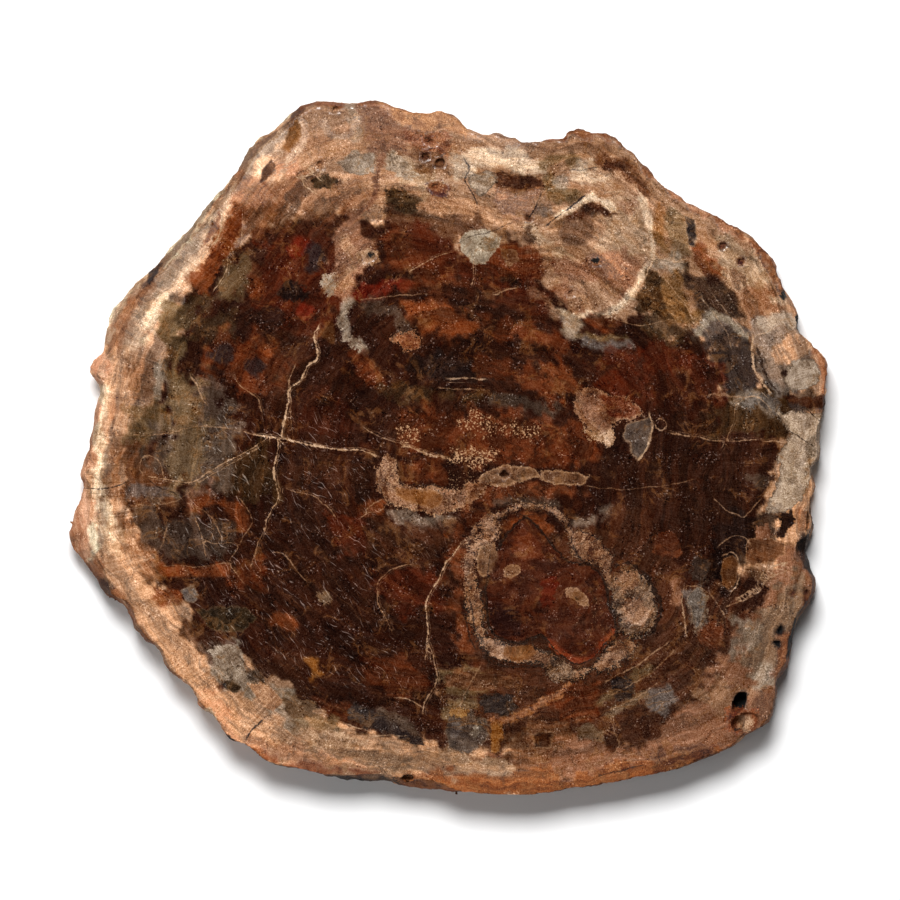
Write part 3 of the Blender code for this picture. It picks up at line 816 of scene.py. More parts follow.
# %% Stain the lower left and the lower edge
LOW_EDGE = {
    "orange_corner": (area(188,690, 205,690, 245,728, 268,748, 250,756, 215,728), "peach", 8, 0.9),
    "orange_belt": (area(245,738, 300,745, 365,758, 375,772, 310,770, 262,758), "peach", 8, 0.9),
    "rust_belt": (line(10, 245,752, 285,764, 330,771, 375,772), "rim_red", 6, 0.85),
    "grey": (area(203,648, 236,645, 250,665, 262,690, 245,700, 215,680), "ash", 8, 0.9),
    "grey_low": (area(262,680, 285,690, 310,720, 290,728, 262,705), "ash", 8, 0.8),
    "dark_diagonal": (line(8, 236,652, 250,668, 264,682), "grey", 5, 0.9),
    "olive_grey_belt": (area(285,700, 310,705, 345,728, 340,738, 310,730), "olive_tan", 8, 0.7),
    "pale_belt": (line(11, 300,736, 345,742, 385,746), "low_tan", 7, 0.5),
    "cream_belt": (line(22, 340,752, 400,760, 460,762), "low_tan", 10, 0.9),
    "dark_bed": (area(372,706, 395,712, 420,730, 425,742, 405,738, 382,728), "grey", 7, 0.9),
    "tan_above_agate": (area(440,700, 475,700, 478,715, 450,718), "olive_tan", 6, 0.7),
    "cells": (area(500,735, 540,720, 575,722, 578,748, 540,768, 505,762), "umber", 7, 0.8),
    "cream": (line(14, 455,760, 480,764, 505,768), "low_cream", 6, 0.9),
    "tan": (area(555,740, 600,735, 612,765, 570,775, 545,768), "pink_brown", 9, 0.85),
    # Painted shade: dark lines along the lower edge, where the wall turns away under the face
    "edge_shade": (line(6, 256,762, 290,773, 330,780, 360,785), "dark_bark_and_shade", 4, 0.6),
    "edge_shade_middle": (line(9, 330,782, 360,784, 392,782), "dark_bark_and_shade", 4, 0.85),
    "rubble": (area(396,776, 412,772, 445,780, 450,795, 418,797, 400,788), "rim_orange", 5, 0.8),
    "edge_shade_south": (line(4, 420,797, 480,798, 540,797, 600,789, 660,778), "bark_brown", 3, 0.6),
    "bottom_corner_crumbs": (area(650,758, 690,748, 720,742, 715,755, 680,768, 655,775), "bark_brown", 6,
        0.7),
    "rim": (line(9, 150,648, 172,680, 192,702, 212,724, 238,744, 258,758), "rim_orange", 5, 0.6),
}
stain(LOW_EDGE)

# %% Stain the lower right and the right edge
LOW_RIGHT = {
    "purple_cell": (area(645,690, 668,684, 675,702, 660,722, 646,712), "blue", 5, 0.85),
    "stripes_tan": (line(8, 600,700, 625,685, 650,665), "olive_tan", 4, 0.6),
    "grey_cell": (area(682,588, 700,586, 706,612, 700,632, 686,622), "blue", 5, 0.85),
    "olive_under_peach": (area(748,568, 772,570, 765,590, 745,588), "olive", 6, 0.7),
    "black_by_orange": (area(770,528, 785,522, 792,535, 780,540), "dark_bark_and_shade", 4, 0.85),
    "ochre": (area(796,508, 806,500, 808,528, 796,532), "honey", 4, 0.85),
    # Painted shade in the pocket of the right wall, below the face's edge
    "shaded_wall_pocket": (area(796,535, 812,532, 816,560, 818,575, 800,570, 796,552), "dark_bark_and_shade", 4, 0.9),
    "tan": (area(770,600, 800,570, 818,580, 800,640, 785,680, 755,690, 740,660, 750,625), "east_tan", 9,
        0.95),
    "grey": (area(738,620, 765,625, 760,650, 735,655), "ash", 8, 0.5),
    "pale": (oval(764, 676, 12, 14, 15), "ash", 7, 0.8),
    "brown": (area(775,640, 798,625, 795,668, 780,690, 772,668), "bark_rust", 6, 0.7),
    "corner_smooth": (area(752,695, 782,690, 780,725, 755,742, 748,715), "corner_brown", 7, 0.9),
    "tan_low": (area(696,692, 725,682, 748,692, 746,718, 712,716), "sandy", 8, 0.7),
    # The right wall and rim: dark brown bark, partly its own colour and partly painted shade on the side
    # away from the light
    "wall": (line(7, 812,600, 800,632, 797,655, 786,684, 783,705, 770,728, 745,745), "bark_brown", 5, 0.6),
    "rim": (line(9, 824,400, 822,440, 820,470, 818,500, 816,525), "bark_brown", 5, 0.8),
    "brown_field": (area(600,448, 700,450, 770,448, 765,500, 740,530, 680,530, 620,500), "dark_brown", 16,
        0.6),
    "grey_in_field": (oval(752, 480, 13, 7), "grey", 8, 0.7),
}
stain(LOW_RIGHT)

# %% [markdown]
# ### The borders of the heart
# Last, the darkest wood is laid where the heart meets paler stone, so that its border reads clearly.

# %% Darker wood at the borders of the heart
HEART_BORDERS = {
    "black_grey": (area(700,340, 728,330, 748,350, 752,386, 735,398, 706,392), "dark_agate", 8, 0.9),
    "wood_by_knot": (area(546,528, 610,524, 668,548, 684,580, 672,610, 640,570, 606,556, 580,572, 552,548),
        "brown", 6, 1),
    "pale": (area(168,384, 214,380, 236,420, 232,492, 184,500, 166,440), "pale_grey", 14, 0.5),
    "olive": (area(244,196, 270,182, 300,184, 336,192, 346,212, 300,222, 262,226, 236,224), "umber", 9,
        0.6),
    "brown": (area(250,210, 290,204, 340,214, 330,232, 268,240, 240,240), "brown", 8, 0.5),
    "brown_north": (area(384,204, 424,212, 462,216, 500,226, 530,240, 470,246, 420,238, 388,228), "brown",
        9, 0.85),
    "dark_flow": (line(22, 420,240, 450,262, 490,284, 540,300), "red", 10, 0.7),
    "dark_flow_second": (line(16, 440,290, 500,300, 556,318), "heart", 10, 0.6),
    "dark": (area(596,352, 640,344, 700,350, 726,380, 724,408, 660,412, 604,392), "red", 14, 0.85),
    "dark_core": (area(640,366, 700,362, 716,396, 700,450, 640,440, 652,400), "heart", 14, 0.7),
    "dark_right": (area(740,512, 770,510, 780,538, 752,540, 738,572, 720,596, 708,560, 716,524), "black", 8,
        0.9),
    "left_brown": (line(12, 126,528, 138,556, 146,580), "umber", 8, 0.6),
    "tan_streaks": (area(172,378, 196,372, 206,420, 202,486, 178,490, 170,430), "olive_tan", 12, 0.65),
    "edge": (area(180,628, 204,620, 232,650, 236,664, 206,660), "brown", 8, 0.85),
}
stain(HEART_BORDERS)

# %% [markdown]
# ## Inlays with a sharp edge
# Agate patches, crusts and cells of the knot end at a clean line. They are kept in layers over the
# ground: each layer has its own two colours and a field of depths, and a rim that may be ragged, by up to
# so many pixels, or grainy, as sugary quartz is. A feature that lies inside an older one of its layer only
# changes the colours there.

# %% Lay inlays into a layer
LAYER_REACH = 9
NESTED_SOFTNESS = 2


def new_layer():
    """An empty layer: two colours, a field of depths and a rim at every corner."""
    return {
        "colours": np.zeros((len(places), 6), dtype=np.float32),
        "field": np.tile(np.float32((-LAYER_REACH, 0, 0)), (len(places), 1)),
        "rim": np.zeros(len(places), dtype=np.float32),
    }


def inlay(layer, features):
    """Adds features to a layer: shape, kind, raggedness and grain of the edge, and tone of the rim."""
    for shape, kind, ragged, grain, rim in features.values():
        near, depth = depth_near(shape, LAYER_REACH)
        depth = np.clip(depth, -LAYER_REACH, LAYER_REACH)
        over = depth > layer["field"][near, 0]
        nested, share = near[~over], soft_step(depth[~over], NESTED_SOFTNESS)[:, None]
        layer["colours"][nested] += share * (MIXTURES[kind][COLOURS] - layer["colours"][nested])
        chosen, depth = near[over], depth[over]
        rough = np.full_like(depth, ragged), np.full_like(depth, grain)
        layer["field"][chosen] = np.column_stack((depth, *rough))
        layer["colours"][chosen] = MIXTURES[kind][COLOURS]
        layer["rim"][chosen] = rim
        inside = soft_step(depth, NESTED_SOFTNESS)[:, None]
        ground[chosen, OTHERS] += inside * (MIXTURES[kind][OTHERS] - ground[chosen, OTHERS])
    print(len(features), "inlays")


# %% [markdown]
# ## The middle of the log
# Round the pith lie a pale crescent of healed rot, drifts of sugary quartz grains and the old knot: a
# smooth red core inside a black line, with a crumbly ring of tan quartz round it.

# %% Lay the crescent and the knot
patches, cells, spots = new_layer(), new_layer(), new_layer()

CRESCENT_AND_KNOT = {
    "crescent_west": (area(376,475, 382,462, 387,454, 394,460, 398,474, 402,483, 415,487, 440,488, 462,490,
        468,483, 482,480, 491,481, 484,491, 470,503, 452,511, 425,512, 403,509, 390,502, 380,490), "crust",
        1.5, 1.5, 0.3),
    "crescent": (area(476,479, 490,471, 508,468, 532,469, 539,476, 524,480, 506,485, 492,486), "lens_brown",
        1, 0.4, 0.5),
    "crescent_tip": (area(541,470, 560,469, 575,471, 588,474, 584,482, 570,486, 555,484, 543,478),
        "lens_brown", 1, 0.4, 0.5),
    "arch_ring": (line(5, 468,545, 475,530, 484,520, 500,512, 517,507, 535,505, 551,510, 563,518, 570,530,
        573,545), "ring_tan", 2, 2, -0.3),
    "ring_north_west": (area(480,518, 490,514, 500,524, 496,535, 489,545, 478,550, 474,562, 476,578,
        468,596, 464,590, 462,565, 470,548, 480,538), "ring_tan", 2, 3, 0),
    "ring_west": (area(468,584, 476,580, 482,592, 484,612, 486,630, 482,642, 474,636, 467,618, 465,600),
        "ring_tan", 2, 2, -1),
    "ring_south": (area(478,634, 492,639, 515,645, 534,645, 545,652, 560,661, 575,667, 592,670, 584,680,
        568,680, 552,674, 540,663, 520,662, 498,660, 484,650), "ring_tan", 2, 2, -1),
    "ring_crust_east": (area(570,532, 580,526, 596,532, 604,548, 612,558, 610,572, 604,576, 600,562,
        586,566, 574,558, 568,545), "ring_tan", 2, 2, -0.6),
    "ring_branch": (line(5, 601,560, 606,572, 607,582, 603,590), "ring_tan", 1.5, 2, 0.4),
    "ring_east": (area(614,576, 630,568, 646,575, 656,592, 657,612, 650,632, 634,638, 618,632, 617,616,
        611,600, 608,586), "ring_grey", 3, 2, -1),
    "round_grey_south": (oval(558, 670, 17, 10, 5), "ring_grey", 1.5, 3, -0.5),
    "ring_south_east": (area(606,648, 618,640, 636,643, 630,657, 612,672, 596,676, 592,664), "ring_tan", 3,
        2, -1),
}
inlay(patches, CRESCENT_AND_KNOT)

KNOT_CELLS = {
    "crescent_amber": (area(394,486, 410,489, 432,490, 443,493, 441,503, 426,506, 406,502, 396,495),
        "clear_amber", 1, 0.3, 0.2),
    "knot_core": (area(489,560, 494,549, 508,531, 525,517, 538,527, 550,541, 560,554, 572,563, 586,567,
        599,571, 606,584, 608,600, 614,615, 612,632, 600,648, 588,658, 574,659, 560,652, 546,638, 540,635,
        526,640, 508,641, 493,633, 489,614, 486,592, 489,575), "knot_core", 1, 0.3, -0.7),
    "tan_lens": (area(481,546, 492,543, 496,552, 492,568, 484,577, 477,570, 477,556), "lens_brown", 0.8,
        0.3, 0.5),
    "amber_cell_south": (area(504,645, 518,643, 534,644, 538,652, 529,659, 512,660, 502,654), "clear_amber",
        1, 0.5, 0),
    "knot_rust": (area(512,538, 524,526, 538,540, 545,556, 525,560, 510,552), "knot_rust", 2, 0, 0),
    "core_shade": (area(488,612, 502,600, 520,610, 522,634, 500,636), "knot_dark", 2.5, 1, 0),
    "orange_rim": (line(5, 548,641, 560,653, 575,659, 590,656, 602,646, 612,630), "knot_rim", 1.5, 0, 0),
    "ring_tan": (area(622,600, 640,596, 650,610, 640,626, 624,622), "ring_tan", 3, 2, 0),
    "ring_east_tan": (area(616,574, 632,570, 640,584, 624,592, 612,586), "ring_tan", 3, 2, 0),
}
inlay(cells, KNOT_CELLS)

KNOT_SPOTS = {
    "bean": (area(503,568, 509,565, 518,565, 522,568, 519,574, 512,579, 505,576), "bean_tan", 1, 0.5, 0.4),
    "tan_spot": (area(565,587, 575,585, 586,596, 588,605, 580,604, 567,595), "bean_tan", 1, 1, 0.4),
    # A tiny hole, painted as a black spot of shade
    "black_dot": (oval(576, 598, 1.6, 1.6), "pit", 0, 0, 0),
    "hollow_rim": (oval(504, 474, 6.5, 6.5), "bean_tan", 0.5, 0.5, 0.3),
    "knot_scarlet": (oval(548, 590, 9, 14), "knot_red", 3, 0, 0),
}
inlay(spots, KNOT_SPOTS)

# %% [markdown]
# ### The lower heart
# Below the knot, small hollows healed with grey, brown and honey agate.

# %% Lay the agate of the lower heart
LOW_HEART = {
    "grey_agate": (area(448,712, 458,708, 470,712, 484,720, 488,735, 481,747, 466,753, 452,747, 446,730),
        "agate", 1.5, 0.3, 0.15),
    "orange_post": (area(490,720, 500,718, 502,735, 500,752, 491,752, 489,735), "dark_amber", 1.5, 0.3, 0),
    "brown_cell": (area(535,736, 544,731, 553,733, 548,745, 537,747), "cell_brown", 1, 0.3, 0.3),
    "grey_below_knot": (area(442,673, 460,670, 485,671, 515,676, 522,684, 500,688, 470,690, 446,685),
        "umber", 3, 0.6, 0),
    "dark_grey_below_knot": (area(476,698, 495,692, 515,697, 520,708, 505,717, 485,714), "dark_agate", 2,
        0.4, 0),
    "diagonal_tan": (line(6, 490,721, 513,718, 535,704, 555,692, 568,685), "honey", 2, 0.5, 0),
    "dark_bed": (area(352,703, 372,709, 400,726, 418,736, 424,742, 410,741, 392,733, 366,727, 348,720),
        "dark_agate", 2, 0.4, 0),
    "grey_end": (area(575,728, 590,724, 603,728, 600,738, 580,740), "agate_tan", 2, 0.4, 0),
    "white_cheek": (area(250,684, 262,680, 275,690, 282,704, 272,710, 258,700), "tan", 2, 0.4, 0),
    "grey_cheek": (area(208,650, 222,645, 240,650, 250,668, 244,680, 226,672), "ash", 2, 0.6, 0),
    "bright_belt": (area(300,731, 330,730, 352,738, 370,744, 340,750, 310,744), "low_cream", 3, 0.6, 0),
    "green_lens": (area(200,612, 222,607, 248,608, 258,620, 244,630, 222,632, 206,624), "green", 2, 0.3,
        0.15),
    "blue_lens": (area(183,588, 194,583, 201,592, 196,603, 187,603), "blue", 1, 0.3, 0.2),
}
inlay(patches, LOW_HEART)

LOW_CELLS = {
    "yellow_crystals": (area(448,712, 458,709, 468,712, 465,717, 452,718), "ochre", 1.5, 1, 0),
    "agate_white": (oval(478, 731, 5, 8, 20), "milk", 2, 0.3, 0),
    "agate_blue": (area(452,722, 462,720, 466,730, 458,738, 450,734), "blue", 1.5, 0, 0),
    "rubble": (area(396,776, 405,774, 425,778, 443,784, 438,794, 415,793, 402,786), "rim_orange", 2, 2,
        0.3),
}
inlay(cells, LOW_CELLS)

# %% [markdown]
# ## Shards of the face
# Where the wood had cracked before it turned to stone, the gaps healed with agate of another colour. Each
# shard has its own outline, so it is laid as an inlay. They go round the face from the top, over the right
# side, to the lower edge.

# %% Lay the shards of the top
NORTH_SHARDS = {
    "white_shard": (area(382,155, 392,151, 402,158, 411,167, 420,175, 410,183, 395,176, 385,168), "white",
        1.5, 0.4, 0),
    "grey_shard": (area(337,162, 352,152, 374,152, 375,172, 360,178, 342,168), "ash", 2, 0.4, 0),
    "sand": (area(385,110, 410,115, 432,106, 440,105, 465,120, 461,130, 430,133, 405,126), "sand", 3, 1, 0),
    "rough_north": (area(404,130, 425,134, 446,132, 452,150, 446,158, 424,150, 405,142), "crust_pink", 3,
        2, 0),
    "white_shard_east": (area(471,175, 485,174, 496,180, 491,190, 480,196, 472,187), "white", 1, 0.2, -0.3),
    "dark_shard": (area(494,177, 515,175, 536,176, 541,185, 531,192, 507,187), "brown", 2, 1, 0),
    "white_shard_heart": (area(460,240, 470,231, 490,230, 502,236, 496,250, 486,265, 472,265, 461,253),
        "white_grey", 1, 0.2, 0.1),
    "pink_shard_heart": (area(502,250, 515,252, 519,262, 510,268, 504,262), "bean_tan", 1.5, 0.3, 0),
    "dark_streak": (area(388,190, 398,188, 414,205, 420,218, 405,216, 392,206), "olive", 3.5, 1, 0),
    "pink_vein": (line(6, 386,143, 380,165, 377,188, 362,210, 353,226), "pink_brown", 2, 0.6, 0),
    "white_hook": (line(6, 325,122, 328,133, 340,137, 352,134, 357,118), "low_cream", 3, 2, 0),
    "olive_streaks": (area(314,178, 328,174, 340,184, 330,190, 316,188), "olive", 2, 0.6, 0),
    "white_vein": (line(6, 301,120, 303,140, 297,155, 286,168, 272,180), "cream", 3, 1, 0),
    "brown_lens_west": (area(219,206, 219,226, 211,242, 201,252, 206,236, 213,220), "honey", 1, 0.3, 0),
    "rust": (area(222,232, 234,218, 246,211, 240,234, 228,254, 214,276, 200,298, 204,276, 216,252),
        "orange", 2.5, 0.8, 0),
    "brown_lens_second": (area(262,170, 272,160, 276,168, 268,180, 261,182), "umber", 1, 0.3, 0.2),
    "hole_crust": (area(356,254, 366,249, 378,252, 380,263, 366,268, 356,264), "crust_cream", 1.5, 1, 0.3),
    "crust_shard_middle": (area(391,337, 402,331, 414,331, 423,337, 420,346, 405,348), "crust_pink", 1.5,
        1.5, 0.3),
    "grey_tail": (line(6, 350,305, 344,318, 343,328, 349,338, 360,350), "ash", 3, 1.5, 0),
    "grey_knuckle": (area(326,276, 334,273, 338,284, 336,296, 328,297, 325,287), "ash", 3, 1.5, 0.2),
    "black_spot": (oval(294, 293, 13, 10, 20), "black", 3.5, 1, 0),
}
inlay(patches, NORTH_SHARDS)

NORTH_CELLS = {
    # A hole in the crust, painted as a dark spot of shade
    "hole_in_crust": (oval(370, 257, 5, 3.5, -10), "pit", 0.8, 0.4, 0),
    "rough_pit": (area(426,186, 440,182, 449,188, 446,196, 432,195), "rough_brown", 2, 2, 0),
}
inlay(cells, NORTH_CELLS)

# %% Lay the shards of the north-east and the right side
EAST_SHARDS = {
    "grey_lens": (area(684,217, 692,220, 697,234, 694,247, 688,246, 684,232), "dark_agate", 1, 0.3, 0.4),
    "white_crystals": (area(720,272, 733,268, 746,280, 740,292, 726,286), "crust_cream", 1, 2, 0),
    "rosette": (oval(800, 374, 18, 16, -20), "ash", 1.5, 0.6, -0.3),
    "rosette_band": (area(776,396, 796,398, 828,396, 829,410, 812,412, 790,404), "brown", 2, 0.8, 0),
    "white": (area(776,412, 800,414, 826,414, 823,440, 818,465, 810,482, 803,496, 794,508, 780,513, 768,511,
        769,496, 778,478, 783,468, 776,462, 782,447, 787,433, 780,422), "white", 1.5, 0.6, -0.3),
    "chevron": (area(740,409, 750,392, 768,392, 782,404, 776,418, 766,410, 756,402, 748,412), "slate", 3,
        1.5, 0),
    "crust_right": (area(572,404, 580,390, 592,388, 603,392, 611,396, 630,398, 645,412, 634,419, 615,422,
        609,428, 612,440, 603,434, 594,434, 582,420, 574,414), "crust", 1.5, 1.5, 0.2),
    "crust_crumbs": (area(585,428, 598,432, 610,430, 612,442, 606,448, 598,440, 588,440), "crust_cream",
        1.5, 2, 0.3),
    "grey_patch": (area(622,426, 636,421, 651,415, 652,430, 646,450, 637,460, 630,452, 622,436), "agate", 1,
        0.3, 0.35),
    "peach": (area(746,541, 760,536, 782,540, 784,556, 770,564, 752,566, 745,556), "umber", 1.5, 0.6, 0.3),
    "black_right": (area(774,514, 792,511, 794,520, 786,536, 772,538, 780,526), "black", 1.5, 1, 0),
    "peach_right": (area(756,522, 769,520, 770,534, 760,540, 755,532), "pink_brown", 1.5, 0.8, 0),
    "brown_oval": (area(721,560, 730,554, 736,564, 735,580, 728,590, 721,580), "brown_amber", 1, 0.4, 0.2),
    "brown_polygon": (area(654,538, 662,532, 670,530, 682,556, 676,560, 660,558, 650,552), "dark_orange", 1,
        0.6, 0),
    "blue_black": (oval(700, 569, 9, 12, 20), "dark_grey", 3.5, 0.8, 0),
}
inlay(patches, EAST_SHARDS)

EAST_CELLS = {
    "crust_orange": (area(598,396, 612,396, 630,400, 643,411, 628,418, 612,420, 600,412), "knot_rust",
        1.5, 1, 0),
    "crust_brown": (area(581,397, 592,393, 604,404, 608,428, 596,428, 584,412), "pink_brown", 1.5, 1, 0),
    "rosette_dark": (oval(782, 372, 4.5, 4), "black", 1.5, 1, 0),
    # Pits and the nodule's hole, painted as dark spots of shade
    "black_pit": (area(778,294, 786,290, 789,298, 782,301), "pit", 1, 1, 0),
    "black_rim": (area(796,316, 803,314, 805,328, 798,332), "pit", 1, 1, 0),
    "nodule_hole": (oval(595, 262, 3.5, 2.5), "pit", 0.8, 0.4, 0),
}
inlay(cells, EAST_CELLS)

# %% Lay the shards of the lower right and the lower left
SOUTH_SHARDS = {
    "grey_slivers": (area(612,682, 628,676, 636,682, 630,698, 616,700), "dark_agate", 1.5, 0.6, 0),
    "grey_band": (line(7, 610,712, 628,701, 645,692), "agate_tan", 1.5, 0.6, 0),
    "grey_blue_lens": (area(687,592, 697,586, 706,596, 704,614, 696,632, 687,622), "slate", 2.5, 0.6,
        0.25),
    "amber_circle": (oval(711, 635, 11, 13, 30), "dark_orange", 3, 1.5, 0),
    "dark_triangle": (area(737,588, 748,576, 765,590, 758,608, 742,610), "dark_brown", 2, 0.6, 0),
    "red_tan_strip": (line(9, 674,581, 676,592, 672,602), "pink_brown", 1.5, 0.8, 0),
    "red_crust": (area(724,708, 736,704, 754,708, 755,722, 746,732, 728,730), "rim_red", 2, 2, 0),
    "white_crystals": (area(736,714, 748,712, 755,722, 748,735, 738,730), "crust_cream", 1, 2, 0),
    "dark": (area(618,712, 640,706, 664,716, 660,738, 636,745, 620,734), "brown", 3, 1, 0),
    "pale_chip": (area(198,712, 208,707, 219,716, 215,723, 203,722), "bright", 1.5, 0.6, 0),
    "dark_knob": (oval(230, 738, 6, 5), "dark_bark_and_shade", 1.5, 1, 0),
    "olive_streak": (area(223,682, 232,679, 241,686, 236,692, 226,689), "olive", 1.5, 0.6, 0),
    "grey_cell": (area(283,700, 298,695, 316,700, 312,716, 294,720), "agate_tan", 2, 0.8, 0),
    "tan_patch": (oval(325, 598, 7, 6), "agate_tan", 1.5, 1, 0),
}
inlay(patches, SOUTH_SHARDS)

# %% [markdown]
# ## Grains and scratches
# Sugary quartz lies in drifts over the middle of the face, and the crusts are grainy all through. The
# dark western heart is full of fine scratches, and pale walls show between the shards in some places. Each
# gets a weight at every corner for the material.

# %% Weigh grains and scratches
def weigh(weights, features):
    """Raises a weight inside shapes with a torn edge: shape, amount, softness in pixels."""
    for shape, amount, softness in features.values():
        near, depth = depth_near(shape, 2 * softness)
        share = soft_step(depth + softness * tear[near] / 2, softness)
        weights[near] = np.maximum(weights[near], amount * share)
    print(len(features), "weighted shapes")
    return weights


def no_weight():
    """Nothing yet, at every corner."""
    return np.zeros(len(places), dtype=np.float32)


# %% Drifts of quartz
QUARTZ_DRIFTS = {
    "west": (area(393,424, 410,420, 422,430, 420,446, 404,448, 393,438), 1.0, 11),
    "west_sparse": (area(415,421, 440,421, 440,437, 420,438), 0.55, 6),
    "middle": (area(454,416, 475,410, 498,414, 500,430, 480,436, 457,434), 1.0, 11),
    "east": (area(500,424, 518,419, 542,423, 544,436, 520,439, 502,435), 1.0, 10),
    "low": (area(446,449, 470,444, 496,448, 495,464, 475,471, 447,469), 1.1, 9),
    "under": (area(446,468, 478,470, 482,482, 462,492, 446,488), 0.75, 7),
    "far_east": (area(520,430, 562,432, 566,462, 520,470, 498,462), 0.42, 9),
    "by_crescent": (area(400,455, 418,458, 416,475, 402,478), 0.55, 6),
    "crescent": (area(376,470, 388,455, 400,470, 402,500, 384,498), 0.9, 5),
    "crescent_low": (line(9, 388,503, 410,510, 440,512, 462,508), 0.9, 5),
    "arch": (line(10, 488,515, 510,507, 535,504, 552,508, 566,520), 0.7, 5),
    "west_heart": (area(180,296, 250,300, 262,360, 210,372, 184,340), 0.35, 12),
    "flow": (area(480,345, 540,360, 560,395, 500,390), 0.3, 10),
    "knot": (area(575,590, 606,596, 606,625, 580,625), 0.6, 7),
}
weigh(ground[:, QUARTZ], QUARTZ_DRIFTS)

# %% Scratches
SCRATCHED = {
    "west_heart": (area(190,420, 285,400, 375,450, 385,600, 420,690, 300,690, 210,640, 180,560), 1.0, 24),
    "by_the_knot": (area(400,520, 460,520, 450,680, 400,680), 0.5, 20),
}
fibres = weigh(no_weight(), SCRATCHED)

# %% Sugary crusts
SUGARY_INLAYS = ("ring_north_west", "ring_west", "ring_south", "ring_crust_east", "ring_east",
                 "ring_south_east", "crescent_west", "arch_ring", "round_grey_south")
SUGAR = {
    **{name: (CRESCENT_AND_KNOT[name][0], 0.75, 4) for name in SUGARY_INLAYS},
    "crust_right": (EAST_SHARDS["crust_right"][0], 0.5, 3),
    "crust_crumbs": (EAST_SHARDS["crust_crumbs"][0], 0.8, 3),
    "white_crystals": (EAST_SHARDS["white_crystals"][0], 0.6, 3),
    "red_crust": (SOUTH_SHARDS["red_crust"][0], 0.5, 3),
    "rough_north": (NORTH_SHARDS["rough_north"][0], 0.6, 3),
    "crust_shard_middle": (NORTH_SHARDS["crust_shard_middle"][0], 0.5, 3),
    "top": (area(310,110, 450,112, 560,142, 640,152, 760,250, 800,330, 700,330, 640,320, 540,310, 520,236,
        380,212, 300,180), 0.3, 14),
    "low": (area(430,670, 560,690, 660,640, 700,570, 800,570, 790,700, 700,770, 560,790, 400,780, 240,750,
        180,650, 240,640, 330,730), 0.22, 14),
    "east": (area(776,412, 826,414, 818,465, 794,508, 768,511, 782,447), 0.25, 14),
    "north_west": (area(340,228, 372,240, 366,290, 342,300, 330,262), 0.5, 8),
    "north": (area(556,262, 630,262, 640,286, 612,312, 572,312), 0.45, 10),
}
sugar = weigh(no_weight(), SUGAR)

SMOOTH_CELLS = ("knot_core", "crescent_amber", "amber_cell_south")
SMOOTH_MARGIN = 2
SMOOTH_SOFTNESS = 3
for name in SMOOTH_CELLS:
    near, depth = depth_near(KNOT_CELLS[name][0], SMOOTH_MARGIN)
    sugar[near] *= 1 - soft_step(depth, SMOOTH_SOFTNESS)

# %% Walls between shards
WALLED = {
    "lower_right": (area(430,660, 560,690, 640,640, 690,560, 790,560, 790,680, 740,750, 560,775, 430,765),
        1.0, 20),
    "top": (area(310,150, 460,150, 560,170, 560,230, 460,215, 320,230), 0.8, 20),
    "north_east": (area(560,150, 640,150, 720,240, 740,330, 640,330, 650,240, 600,190), 0.8, 20),
    "west": (area(140,360, 230,300, 270,420, 260,560, 150,580), 0.9, 20),
    "south_west": (area(200,580, 420,560, 430,740, 320,720, 220,660), 0.5, 20),
}
walls = weigh(no_weight(), WALLED)
print("scratches on", np.count_nonzero(fibres), "corners, sugar on", np.count_nonzero(sugar))

# %% [markdown]
# ## Veins and cracks
# A vein is thinner than the mesh, so its width can't be painted. Instead the corners near it keep the
# distance to its middle line with a sign for the side, which runs evenly across each face, and the
# material draws the line where that distance is small. Beyond a few pixels the vein's strength is zero.

# %% Trace lines
LINE_CORE = 3.6
LINE_FADE = 3.2
END_FADE = 3
LINE_REACH = 9


def new_lines():
    """An empty set of lines: the field that draws them, and how pale they are."""
    return {
        "nearest": np.full(len(places), FAR, dtype=np.float32),
        "field": np.zeros((len(places), 3), dtype=np.float32),
        "tone": np.zeros(len(places), dtype=np.float32),
    }


def trace(lines, features):
    """Adds each line: its width in pixels, how pale it is from 0 to 1, its strength, and its points."""
    for width, tone, strength, *numbers in features.values():
        points = pairs(numbers)
        left, top, right, bottom = around(points, LINE_REACH + 1)
        across = (picture_x > left) & (picture_x < right)
        near = np.flatnonzero(across & (picture_y > top) & (picture_y < bottom))
        x, y = picture_x[near] + wander_x[near] / 2, picture_y[near] + wander_y[near] / 2
        away, side, beyond = signed_line(x, y, points)
        closer = (away < lines["nearest"][near]) & (away < LINE_REACH)
        chosen, away, side, beyond = near[closer], away[closer], side[closer], beyond[closer]
        fade = np.clip(1 - (away - LINE_CORE) / LINE_FADE, 0, 1) * np.clip(1 - beyond / END_FADE, 0, 1)
        lines["nearest"][chosen] = away
        lines["field"][chosen] = np.column_stack((side, np.full_like(side, width / 2), strength * fade))
        lines["tone"][chosen] = tone
    print(len(features), "lines")


# %% Veins of the heart
veins, fine_veins, cracks = new_lines(), new_lines(), new_lines()

